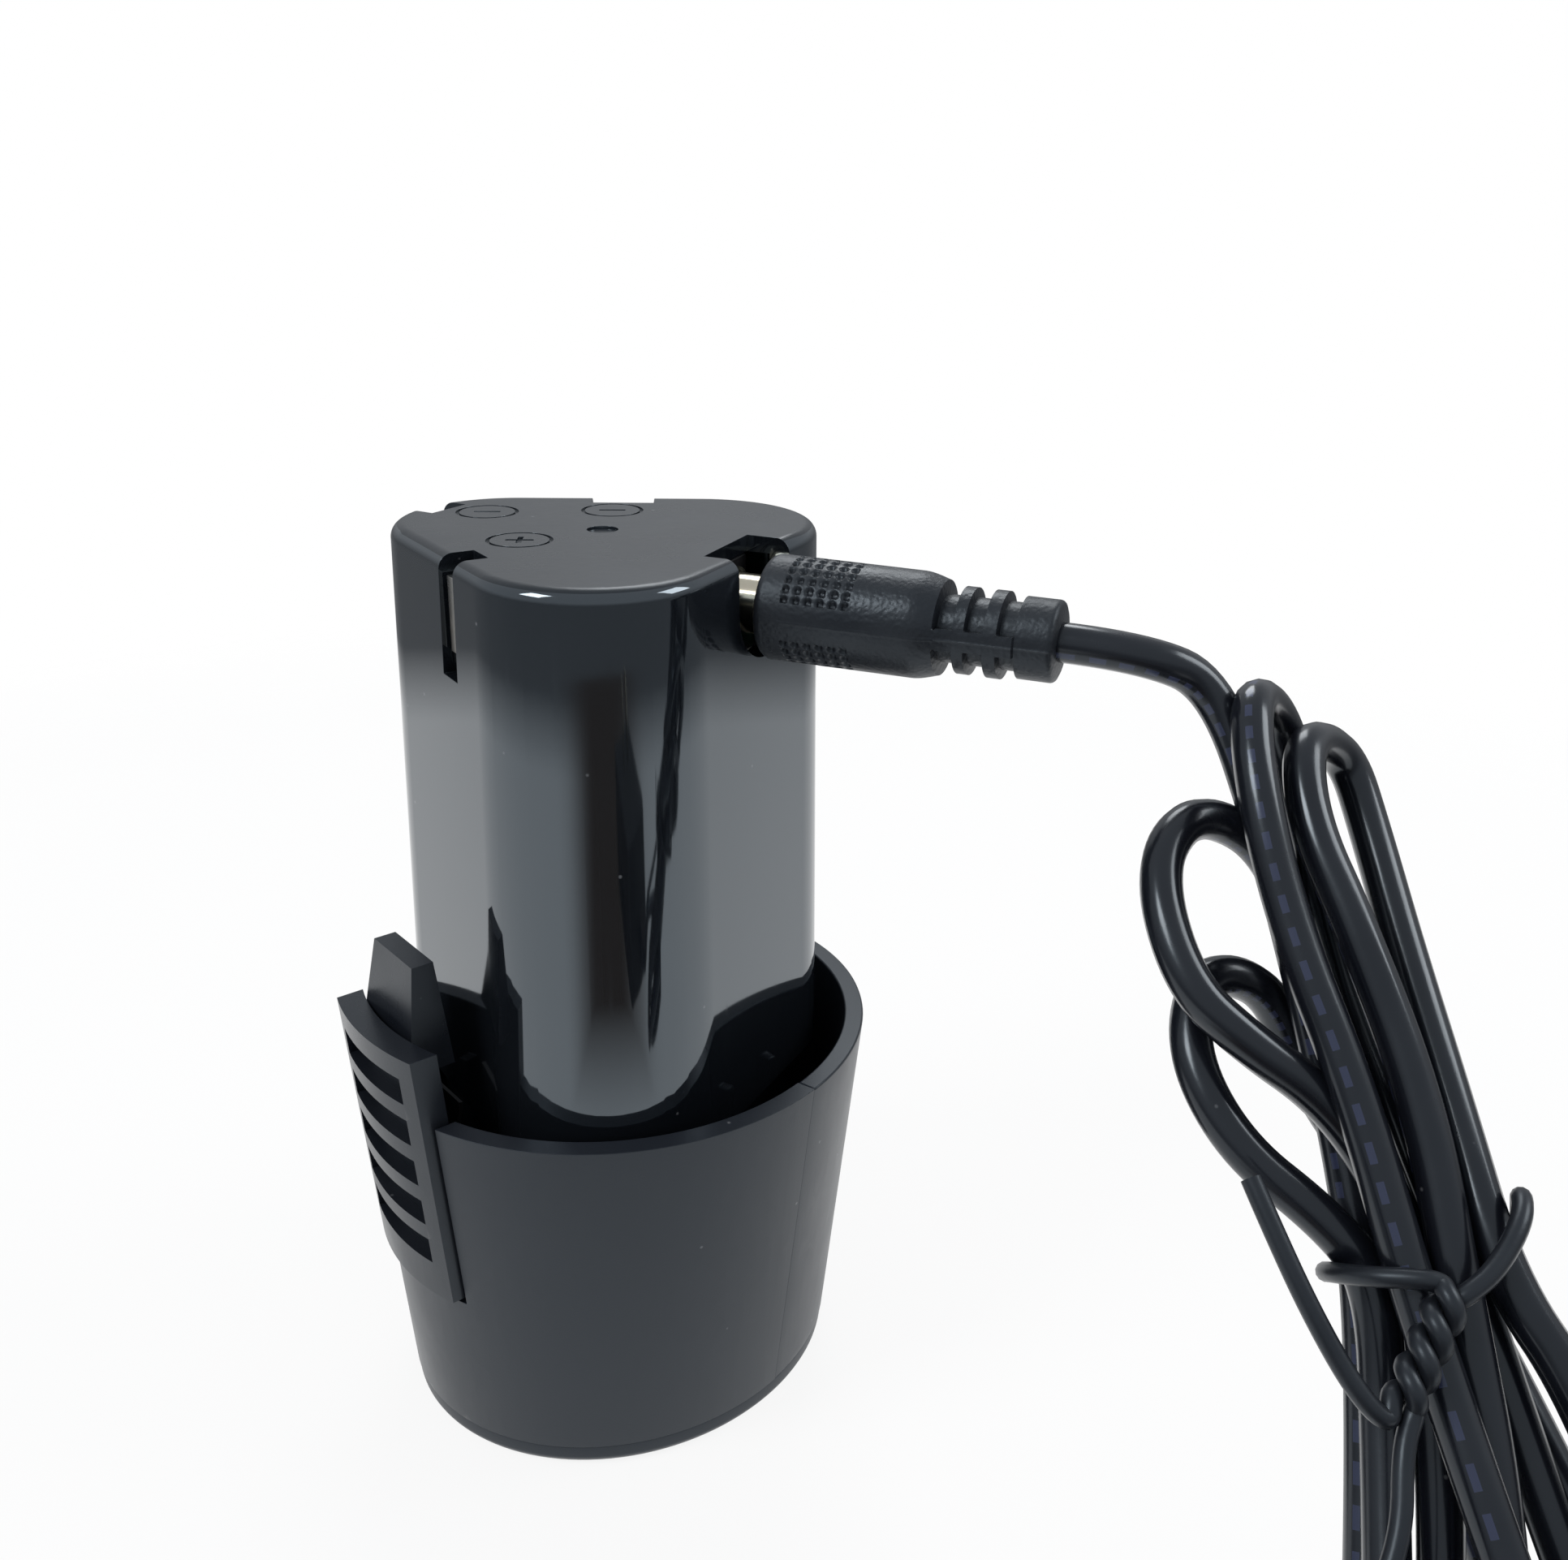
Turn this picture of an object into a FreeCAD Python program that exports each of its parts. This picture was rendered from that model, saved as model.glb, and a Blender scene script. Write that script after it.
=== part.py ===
"""Three-cell slide-in battery pack on its cup base, on charge from a plug-top supply.

Millimetres, +Z up. The origin is the centre of the foot, under the axis of the stem. The corner of
the stem that faces -Y is the front, and the flat face between the other two corners is the back.
"""
import FreeCAD
import Part
import Sketcher
import math
import os

Vector = FreeCAD.Vector
UP = Vector(0, 0, 1)
doc = FreeCAD.newDocument("charger")
sheet = doc.addObject("Spreadsheet::Sheet", "Sizes")

SIZES = {
    # pack as a whole
    "pack_height": 92.6, "rim_height": 41.0, "cover_thickness": 2.5,
    # cup: half lengths of its oval at the rim and at the foot, in plan turned by cup_azimuth
    "rim_long": 27.0, "rim_short": 25.7, "foot_long": 24.0, "foot_short": 21.4,
    "cup_wall": 2.0, "cup_azimuth": 37.0, "seam_azimuth": -38.0, "deck_height": 12.6,
    "deck_thickness": 2.0, "boss_radius": 2.6, "boss_along": 11.0, "boss_across": 9.0,
    "rib_width": 1.2, "rib_depth": 1.4, "rib_below_rim": 6.0, "cover_chamfer": 0.8,
    # stem: three round corners over the three cells
    "stem_radius": 11.35, "cell_spacing": 18.6, "stem_wall": 2.0, "stem_draft": 1.0,
    "stem_foot_radius": 10.15, "stem_step": 36.0,
    "stem_top_wall": 1.6, "stem_edge_round": 1.4,
    # cells and what holds and joins them
    "cell_radius": 9.1, "cell_length": 65.0, "cell_cap_radius": 3.2, "cell_cap_height": 1.2,
    "holder_thickness": 2.4, "holder_lip": 2.0, "strip_thickness": 0.3,
    "board_thickness": 1.2, "cell_play": 0.15, "stem_play": 0.3,
    # latch: a ribbed plate in a window of the cup, hinged at its foot
    "latch_half_width": 7.7, "latch_gap": 0.45, "latch_low": 20.2, "latch_high": 48.5,
    "latch_thickness": 2.6, "latch_proud": 0.9, "latch_slot_height": 2.9, "latch_slot_pitch": 4.7,
    "latch_slot_start": 24.4, "latch_slot_half": 5.8, "latch_slot_depth": 1.4,
    "pivot_reach": 20.4, "pivot_height": 22.8, "barrel_radius": 1.45, "pin_radius": 0.8,
    "pin_play": 0.06, "pin_half_length": 10.3, "catch_top": 55.5, "catch_reach": 21.0, "catch_side": -4.0,
    "catch_thickness": 4.6,
    # charging jack and its notch in the flat face
    "jack_azimuth": -25.0, "jack_drop": 5.2, "notch_half_width": 4.8, "notch_reach": 12.9,
    "jack_half_width": 4.5, "jack_back": 1.5, "jack_above": 3.5,
    "sleeve_outer": 3.25, "sleeve_inner": 2.83, "sleeve_lip": 1.0, "sleeve_length": 9.0,
    "centre_pin_radius": 1.0, "centre_pin_length": 8.0,
    # contact slots and blades
    "blade_thickness": 0.6, "blade_width": 2.2, "blade_gap": 0.2, "blade_foot": 2.4, "blade_face": 2.2, "slot_depth": 3.4, "slot_height": 11.0,
    # plug on the lead
    "plug_start": 17.4, "barrel_outer": 2.75, "barrel_length": 9.5, "barrel_inner": 1.9,
    "insulator_inner": 1.45, "tip_bore": 1.07, "overmould_radius": 4.85, "overmould_body": 14.2,
    "overmould_taper": 4.4, "neck_radius": 3.85, "collar_radius": 3.6, "overmould_length": 27.0,
    "relief_slot": 1.5, "relief_pitch": 2.75, "relief_spine": 1.0, "relief_core": 3.0,
    "cord_radius": 1.75, "tie_radius": 0.9,
    # supply at the far end of the lead
    "supply_x": 66.0, "supply_y": -112.0, "supply_half_width": 20.0, "supply_length": 58.0,
    "supply_depth": 28.0, "supply_exit": 7.0, "supply_wall": 2.0, "supply_round": 3.5, "blade_pitch": 12.7,
    "prong_width": 6.3, "prong_thickness": 1.5, "prong_length": 17.0, "relief_length": 8.0,
    "relief_radius": 3.6,
    # screws
    "screw_radius": 1.1, "screw_play": 0.05, "screw_head_radius": 2.1, "screw_head_height": 1.2,
    "screw_length": 5.4,
}
for row, (alias, number) in enumerate(SIZES.items(), start=1):
    sheet.set("A%d" % row, alias)
    sheet.set("B%d" % row, str(number))
    sheet.setAlias("B%d" % row, alias)
doc.recompute()

PARTS = []


def size(alias):
    """Read one driving dimension from the sheet."""
    return float(sheet.get(alias))


def formula(text):
    """Turn aliases in a formula into references to the sheet."""
    out = []
    word = ""
    for mark in str(text) + " ":
        if mark.isalnum() or mark == "_":
            word += mark
            continue
        out.append("Sizes." + word if word in SIZES else word)
        word = ""
        out.append(mark)
    return "".join(out).strip()


def bind(thing, prop, text):
    """Bind a property to a formula over the sheet's aliases."""
    thing.setExpression(prop, formula(text))
    return thing


def place(thing, where=(0, 0, 0), turn=None, axis=UP, tilt=0.0):
    """Bind where a thing stands, and how far it is turned about an axis."""
    thing.Placement = FreeCAD.Placement(Vector(0, 0, 0), FreeCAD.Rotation(axis, tilt))
    for letter, text in zip("xyz", where):
        if text != 0:
            bind(thing, "Placement.Base." + letter, text)
    if turn is not None:
        thing.Placement.Rotation = FreeCAD.Rotation(axis, 1.0)
        bind(thing, "Placement.Rotation.Angle", turn)
    return thing


def box(name, low, spans):
    """A block from its low corner and its three lengths."""
    block = doc.addObject("Part::Box", name)
    for prop, text in zip(("Length", "Width", "Height"), spans):
        bind(block, prop, text)
    return place(block, low)


def rod(name, radius, length, base=(0, 0, 0), along=UP):
    """A cylinder from the middle of its base face, along an axis."""
    post = doc.addObject("Part::Cylinder", name)
    bind(post, "Radius", radius)
    bind(post, "Height", length)
    place(post, base)
    post.Placement.Rotation = FreeCAD.Rotation(UP, Vector(*along))
    return post


def cone(name, low_radius, high_radius, length, base=(0, 0, 0), along=UP):
    """A round taper from the middle of its base face, along an axis."""
    taper = doc.addObject("Part::Cone", name)
    bind(taper, "Radius1", low_radius)
    bind(taper, "Radius2", high_radius)
    bind(taper, "Height", length)
    place(taper, base)
    taper.Placement.Rotation = FreeCAD.Rotation(UP, Vector(*along))
    return taper


def cut(name, base, *tools):
    """Take tools away from a base, one after the other."""
    result = base
    for n, tool in enumerate(tools):
        step = doc.addObject("Part::Cut", name if n == len(tools) - 1 else "%s_step_%d" % (name, n))
        step.Base = result
        step.Tool = tool
        result = step
    return result


def fuse(name, *pieces):
    """Join pieces into one."""
    result = doc.addObject("Part::MultiFuse", name)
    result.Shapes = list(pieces)
    return result


def common(name, base, tool):
    """Keep what two shapes share."""
    result = doc.addObject("Part::Common", name)
    result.Base = base
    result.Tool = tool
    return result


def turned(thing, azimuth):
    """Turn a shape, with the place it has, about the stem's axis to its azimuth."""
    whole = doc.addObject("Part::Compound", thing.Name + "_turned")
    whole.Links = [thing]
    whole.Placement = FreeCAD.Placement(Vector(0, 0, 0), FreeCAD.Rotation(UP, 1.0))
    return bind(whole, "Placement.Rotation.Angle", azimuth)


def keep(label, thing):
    """Name a finished sub-part and list it for export."""
    thing.Label = label
    PARTS.append(thing)
    return thing


def oval(name, long_half, short_half, height):
    """A flat oval across the cup, for lofting."""
    ring = doc.addObject("Part::Ellipse", name)
    bind(ring, "MajorRadius", long_half)
    bind(ring, "MinorRadius", short_half)
    return place(ring, (0, 0, height))


def oval_loft(name, low, high):
    """A solid with straight sides between two ovals, each (long, short, height)."""
    loft = doc.addObject("Part::Loft", name)
    loft.Sections = [oval(name + "_low", *low), oval(name + "_high", *high)]
    loft.Solid = True
    loft.Ruled = True
    return loft


def trefoil(name, radius, base, length, draft=None):
    """A prism on the stem's plan: three equal round corners joined by flats."""
    body = doc.addObject("PartDesign::Body", name)
    plane = [f for f in body.Origin.OriginFeatures if f.Role == "XY_Plane"][0]
    sketch = body.newObject("Sketcher::SketchObject", name + "_plan")
    sketch.AttachmentSupport = [(plane, "")]
    sketch.MapMode = "FlatFace"
    start = size("cell_spacing") / math.sqrt(3)
    corner = [Vector(start * math.cos(math.radians(a)), start * math.sin(math.radians(a)), 0)
              for a in (-90, 30, 150)]
    guess = 10.0
    for place_at, angle in zip(corner, (-90, 30, 150)):
        circle = Part.Circle(place_at, UP, guess)
        sketch.addGeometry(Part.ArcOfCircle(circle, math.radians(angle - 60),
                                            math.radians(angle + 60)), False)
    for k in range(3):
        first, second = corner[k], corner[(k + 1) % 3]
        angle = math.radians((-90, 30, 150)[k] + 60)
        out = Vector(guess * math.cos(angle), guess * math.sin(angle), 0)
        sketch.addGeometry(Part.LineSegment(first + out, second + out), False)
    for k in range(3):
        sketch.addConstraint(Sketcher.Constraint("Tangent", k, 2, 3 + k, 1))
        sketch.addConstraint(Sketcher.Constraint("Tangent", 3 + k, 2, (k + 1) % 3, 1))
    for k in (1, 2):
        sketch.addConstraint(Sketcher.Constraint("Equal", 0, k))
    radius_row = sketch.addConstraint(Sketcher.Constraint("Radius", 0, guess))
    front = sketch.addConstraint(Sketcher.Constraint("DistanceY", 0, 3, -1, 1, start))
    sketch.addConstraint(Sketcher.Constraint("PointOnObject", 0, 3, -2))
    right_x = sketch.addConstraint(Sketcher.Constraint("DistanceX", -1, 1, 1, 3, start * 0.866))
    right_y = sketch.addConstraint(Sketcher.Constraint("DistanceY", -1, 1, 1, 3, start / 2))
    left_x = sketch.addConstraint(Sketcher.Constraint("DistanceX", 2, 3, -1, 1, start * 0.866))
    left_y = sketch.addConstraint(Sketcher.Constraint("DistanceY", -1, 1, 2, 3, start / 2))
    bind(sketch, "Constraints[%d]" % radius_row, radius)
    bind(sketch, "Constraints[%d]" % front, "cell_spacing / sqrt(3)")
    for row in (right_x, left_x):
        bind(sketch, "Constraints[%d]" % row, "cell_spacing / 2")
    for row in (right_y, left_y):
        bind(sketch, "Constraints[%d]" % row, "cell_spacing / sqrt(12)")
    bind(sketch, "AttachmentOffset.Base.z", base)
    pad = body.newObject("PartDesign::Pad", name + "_pad")
    pad.Profile = sketch
    bind(pad, "Length", length)
    if draft:
        bind(pad, "TaperAngle", draft)
    doc.recompute()
    return body, pad


def cell_place(k):
    """Formulas for the plan position of cell k: front, right or left."""
    return (("0", "-cell_spacing / sqrt(3)"), ("cell_spacing / 2", "cell_spacing / sqrt(12)"),
            ("-cell_spacing / 2", "cell_spacing / sqrt(12)"))[k]


CELL_NAMES = ("front", "right", "left")
CELL_BASE = "deck_height + holder_thickness"
CELL_TOP = "(%s + cell_length)" % CELL_BASE
JACK_HEIGHT = "(pack_height - jack_drop)"


def side_at(half, height):
    """Formula for the cup's outer half length, long or short, at a height."""
    share = "(%s - cover_thickness) / (rim_height - cover_thickness)" % height
    return "(foot_{0} + (rim_{0} - foot_{0}) * {1})".format(half, share)


def cup_form(name, low, high, inset):
    """The cup's outer form between two heights, drawn in by an inset."""
    return oval_loft(name, *[("%s - (%s)" % (side_at("long", at), inset),
                              "%s - (%s)" % (side_at("short", at), inset), at)
                             for at in (low, high)])


def screw_spots():
    """Plan positions of the cover's four screws, in the cup's own turned frame."""
    return [("%s * boss_along" % a, "%s * boss_across" % b) for a, b in
            (("1", "1"), ("-1", "1"), ("-1", "-1"), ("1", "-1"))]


def build_cup():
    """Two shells split at the seam, the foot cover and its screws."""
    outer = cup_form("cup_outer", "cover_thickness", "rim_height", "0")
    well = cup_form("cup_well", "deck_height", "rim_height + 1", "cup_wall")
    under = cup_form("cup_under", "cover_thickness - 1", "deck_height - deck_thickness", "cup_wall")
    shell = cut("cup_hollow", outer, well, under)
    bosses = []
    holes = []
    for n, (x, y) in enumerate(screw_spots()):
        bosses.append(rod("boss_%d" % n, "boss_radius", "deck_height - deck_thickness - cover_thickness",
                          (x, y, "cover_thickness")))
        holes.append(rod("boss_hole_%d" % n, "screw_radius + screw_play", "screw_length + 1",
                         (x, y, "0")))
    ribs = []
    for n, azimuth in enumerate((-92, -66, -47, 6, 30, 150)):
        rib = box("cup_rib_%d" % n, ("0", "0", "0"), ("40", "rib_width", "rim_height - rib_below_rim - deck_height"))
        rib.Placement = FreeCAD.Placement(Vector(0, 0, size("deck_height")), FreeCAD.Rotation(UP, azimuth))
        bind(rib, "Placement.Base.z", "deck_height")
        ribs.append(rib)
    rib_ring = cut("rib_ring", cup_form("rib_outer", "deck_height", "rim_height", "cup_wall / 2"),
                   cup_form("rib_inner", "deck_height - 1", "rim_height + 1", "cup_wall + rib_depth"))
    rib_set = common("cup_ribs", fuse("rib_blocks", *ribs), rib_ring)
    window = box("latch_window", ("-rim_long - 10", "-latch_half_width - latch_gap", "latch_low - latch_gap"),
                 ("rim_long - 5", "2 * (latch_half_width + latch_gap)", "rim_height"))
    pin_hole = rod("pin_hole", "pin_radius + pin_play", "2 * pin_half_length",
                   ("-pivot_reach", "-pin_half_length", "pivot_height"), (0, 1, 0))
    cheeks = common("hinge_cheeks", box("cheek_block", ("-pivot_reach - 4", "-pin_half_length - 1.2",
                                                        "latch_low - 1.5"),
                                        ("4 + barrel_radius", "2 * pin_half_length + 2.4",
                                         "2 * (pivot_height - latch_low) + 1.5")),
                    cup_form("cheek_form", "deck_height", "rim_height", "cup_wall / 2"))
    whole = fuse("cup_joined", shell, rib_set, cheeks, *bosses)
    front_half = common("front_half", whole, seam_side("front_side", True))
    back_half = common("back_half", whole, seam_side("back_side", False))
    keep("cup_front_shell", turned(cut("front_cut", front_half, window, pin_hole, *holes), "cup_azimuth"))
    keep("cup_back_shell", turned(cut("back_cut", back_half, *holes), "cup_azimuth"))
    plate = oval_loft("cover_plate", ("foot_long - cover_chamfer", "foot_short - cover_chamfer", "0"),
                      ("foot_long - 0.2", "foot_short - 0.2", "cover_chamfer"))
    upper = oval_loft("cover_upper", ("foot_long - 0.2", "foot_short - 0.2", "cover_chamfer"),
                      ("foot_long - 0.2", "foot_short - 0.2", "cover_thickness"))
    sinks = [rod("head_sink_%d" % n, "screw_head_radius + 0.2", "screw_head_height", (x, y, "0"))
             for n, (x, y) in enumerate(screw_spots())]
    bores = [rod("cover_bore_%d" % n, "screw_radius + 0.2", "cover_thickness", (x, y, "0"))
             for n, (x, y) in enumerate(screw_spots())]
    cover = cut("cover_cut", fuse("cover_blank", plate, upper), *(sinks + bores))
    keep("bottom_cover", turned(cover, "cup_azimuth"))
    screws = []
    for n, (x, y) in enumerate(screw_spots()):
        head = rod("screw_head_%d" % n, "screw_head_radius", "screw_head_height - 0.3", (x, y, "0.3"))
        shank = rod("screw_shank_%d" % n, "screw_radius", "screw_length - 0.3", (x, y, "0.3"))
        cross = box("screw_cross_%d" % n, (x + " - 1.1", y + " - 0.25", "0.3"), ("2.2", "0.5", "0.4"))
        cross_turned = box("screw_crossed_%d" % n, (x + " - 0.25", y + " - 1.1", "0.3"), ("0.5", "2.2", "0.4"))
        screws.append(cut("screw_%d" % n, fuse("screw_blank_%d" % n, head, shank), cross, cross_turned))
    group = doc.addObject("Part::Compound", "screw_group")
    group.Links = screws
    keep("cover_screws", turned(group, "cup_azimuth"))


def seam_side(name, front):
    """A half-space in the cup's turned frame, on the front or the back of the seam."""
    reach = 60
    block = doc.addObject("Part::Box", name)
    block.Length = 2 * reach
    block.Width = reach
    bind(block, "Height", "rim_height + 10")
    block.Placement = FreeCAD.Placement(Vector(0, 0, 0), FreeCAD.Rotation(UP, 1.0))
    angle = "(seam_azimuth - cup_azimuth)"
    bind(block, "Placement.Rotation.Angle", angle)
    across = "-%d" % reach if front else "0"
    bind(block, "Placement.Base.x", "-%d * cos(%s * 1 deg) - (%s) * sin(%s * 1 deg)" % (reach, angle, across, angle))
    bind(block, "Placement.Base.y", "-%d * sin(%s * 1 deg) + (%s) * cos(%s * 1 deg)" % (reach, angle, across, angle))
    bind(block, "Placement.Base.z", "-5")
    return block


def build_stem():
    """The housing over the cells, with its notch, contact slots and raised marks."""
    body, pad = trefoil("stem_form", "stem_radius + (pack_height - stem_step) * tan(stem_draft * 1 deg)",
                        "stem_step", "pack_height - stem_step", "-stem_draft")
    top_edges = ["Edge%d" % (n + 1) for n, edge in enumerate(pad.Shape.Edges)
                 if all(abs(v.Z - size("pack_height")) < 0.01 for v in edge.Vertexes)]
    rounded = body.newObject("PartDesign::Fillet", "stem_edge")
    rounded.Base = (pad, top_edges)
    bind(rounded, "Radius", "stem_edge_round")
    body.Tip = rounded
    foot, _ = trefoil("stem_foot", "stem_foot_radius", "deck_height", "stem_step - deck_height")
    hollow, _ = trefoil("stem_hollow", "stem_radius - stem_wall", "deck_height - 1",
                        "pack_height - stem_top_wall - deck_height + 1")
    notch_box = box("notch_box", ("notch_reach", "-notch_half_width", JACK_HEIGHT),
                    ("12", "2 * notch_half_width", "jack_drop + 1"))
    notch_round = rod("notch_round", "notch_half_width", "12", ("notch_reach", "0", JACK_HEIGHT), (1, 0, 0))
    notch = turned(fuse("notch", notch_box, notch_round), "jack_azimuth")
    slots = []
    for name, azimuth, offset, wide, reach in CONTACTS:
        deep = "%s - slot_depth" % reach
        slots.append(turned(box(name + "_slot", (deep, "%s - %s / 2" % (offset, wide), "pack_height - slot_height"),
                                ("12", wide, "slot_height + 1")), azimuth))
    marks = []
    for n, (x, y) in enumerate((("-11.9", "8.6"), ("0.4", "9.7"), ("-7.3", "-3.7"))):
        ring = cut("mark_ring_%d" % n, rod("mark_out_%d" % n, "3.1", "1", (x, y, "pack_height - 0.25")),
                   rod("mark_in_%d" % n, "2.75", "1", (x, y, "pack_height - 0.25")))
        bar = box("mark_bar_%d" % n, (x + " - 1.3", y + " - 0.25", "pack_height - 0.25"), ("2.6", "0.5", "1"))
        marks += [ring, bar]
    marks.append(box("mark_plus_post", ("-7.3 - 0.25", "-3.7 - 1.3", "pack_height - 0.25"), ("0.5", "2.6", "1")))
    marks.append(rod("mark_dimple", "1.5", "1", ("0", "0.9", "pack_height - 0.35")))
    stem = cut("stem_cut", fuse("stem_blank", body, foot), hollow, notch, *(slots + marks))
    keep("stem_housing", stem)


CONTACTS = (
    # name, azimuth of the face, offset along it, width, outward reach of the face
    ("contact_plus", "210", "3.0", "3.4", "(cell_spacing / sqrt(12) + stem_radius)"),
    ("contact_minus", "90", "-1.2", "6.4", "(cell_spacing / sqrt(12) + stem_radius)"),
    ("contact_sense", "148", "0", "5.0", "(cell_spacing / sqrt(3) + stem_radius)"),
)


def build_contacts():
    """A springy blade standing on the board behind each slot."""
    for name, azimuth, offset, wide, reach in CONTACTS:
        base = CELL_TOP + " + holder_thickness + board_thickness"
        start = "%s - stem_wall - blade_gap - blade_width" % reach
        blade = box(name + "_blade", (start, "%s - blade_thickness / 2" % offset, base),
                    ("blade_width", "blade_thickness", "pack_height - stem_top_wall - blade_gap - (%s)" % base))
        foot = box(name + "_foot", (start, "%s - blade_foot / 2" % offset, base),
                   ("blade_width", "blade_foot", "blade_thickness"))
        face = box(name + "_face", (start, "%s - blade_face / 2" % offset, base + " + blade_gap"),
                   ("stem_wall + blade_gap + blade_width - 0.5", "blade_face",
                    "pack_height - stem_top_wall - 2 * blade_gap - (%s)" % base))
        keep(name, turned(fuse(name + "_form", blade, foot, face), azimuth))


def build_core():
    """Cells, their two holders, the welded strips and the protection board."""
    for k, corner in enumerate(CELL_NAMES):
        x, y = cell_place(k)
        can = rod("can_" + corner, "cell_radius", "cell_length - cell_cap_height", (x, y, CELL_BASE))
        cap = rod("cap_" + corner, "cell_cap_radius", "cell_length", (x, y, CELL_BASE))
        keep("cell_" + corner, fuse("cell_form_" + corner, can, cap))
    for name, low, sink in (("cell_holder_lower", "deck_height + 0.3", "holder_lip"),
                            ("cell_holder_upper", CELL_TOP, "holder_lip")):
        lower = name.endswith("lower")
        base = low if lower else "%s - holder_lip" % CELL_TOP
        plate, _ = trefoil(name + "_plate", "stem_radius - stem_wall - stem_play", base,
                           "holder_thickness + holder_lip - %s" % ("0.3" if lower else "0"))
        pockets = []
        for k in range(3):
            x, y = cell_place(k)
            start = CELL_BASE if lower else "%s - holder_lip - 1" % CELL_TOP
            pockets.append(rod("%s_pocket_%d" % (name, k), "cell_radius + cell_play", "holder_lip + 1",
                               (x, y, start)))
            pockets.append(rod("%s_hole_%d" % (name, k), "cell_cap_radius + 0.6", "30", (x, y, base + " - 5")))
        keep(name, cut(name + "_cut", plate, *pockets))
    board, _ = trefoil("board_form", "stem_radius - stem_wall - stem_play - 0.4", CELL_TOP + " + holder_thickness",
                       "board_thickness")
    keep("protection_board", board)
    for name, pair, low in (("link_strip_lower", (1, 2), CELL_BASE + " - strip_thickness"),
                            ("link_strip_upper", (0, 2), CELL_TOP)):
        first, second = [cell_place(k) for k in pair]
        tabs = [rod("%s_tab_%d" % (name, n), "cell_cap_radius", "strip_thickness", (x, y, low))
                for n, (x, y) in enumerate((first, second))]
        keep(name, tabs_joined(name, tabs, pair, low))


def tabs_joined(name, tabs, pair, low):
    """Join the round tabs on two cells by a flat strip between them."""
    angle = {(1, 2): 180.0, (0, 2): 120.0}[pair]
    x, y = cell_place(pair[0])
    strip = box(name + "_strip", ("0", "0", low), ("cell_spacing", "cell_cap_radius", "strip_thickness"))
    strip.Placement.Rotation = FreeCAD.Rotation(UP, angle)
    bind(strip, "Placement.Base.x", x)
    bind(strip, "Placement.Base.y", y)
    return fuse(name + "_form", strip, *tabs)


def build_jack():
    """The charging socket behind the notch: body, outer sleeve and centre pin."""
    base = JACK_HEIGHT
    floor = CELL_TOP + " + holder_thickness + board_thickness"
    body = box("jack_block", ("jack_back", "-jack_half_width", floor),
               ("notch_reach - jack_back", "2 * jack_half_width", "%s + jack_above - (%s)" % (base, floor)))
    bore = rod("jack_bore", "sleeve_outer", "20", ("notch_reach - sleeve_length + sleeve_lip", "0", base), (1, 0, 0))
    pin_seat = rod("jack_pin_seat", "centre_pin_radius", "20", ("jack_back + 1", "0", base), (1, 0, 0))
    keep("jack_body", turned(cut("jack_form", body, bore, pin_seat), "jack_azimuth"))
    start = "notch_reach - sleeve_length + sleeve_lip"
    tube = cut("sleeve_form", rod("sleeve_out", "sleeve_outer", "sleeve_length", (start, "0", base), (1, 0, 0)),
               rod("sleeve_in", "sleeve_inner", "sleeve_length", (start, "0", base), (1, 0, 0)))
    keep("jack_sleeve", turned(tube, "jack_azimuth"))
    pin = rod("centre_pin_form", "centre_pin_radius", "centre_pin_length + 3",
              ("jack_back + 1", "0", base), (1, 0, 0))
    keep("jack_centre_pin", turned(fuse("centre_pin_turned", pin, rod(
        "centre_pin_nose", "centre_pin_radius * 0.7", "centre_pin_length + 3.4",
        ("jack_back + 1", "0", base), (1, 0, 0))), "jack_azimuth"))


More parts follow.
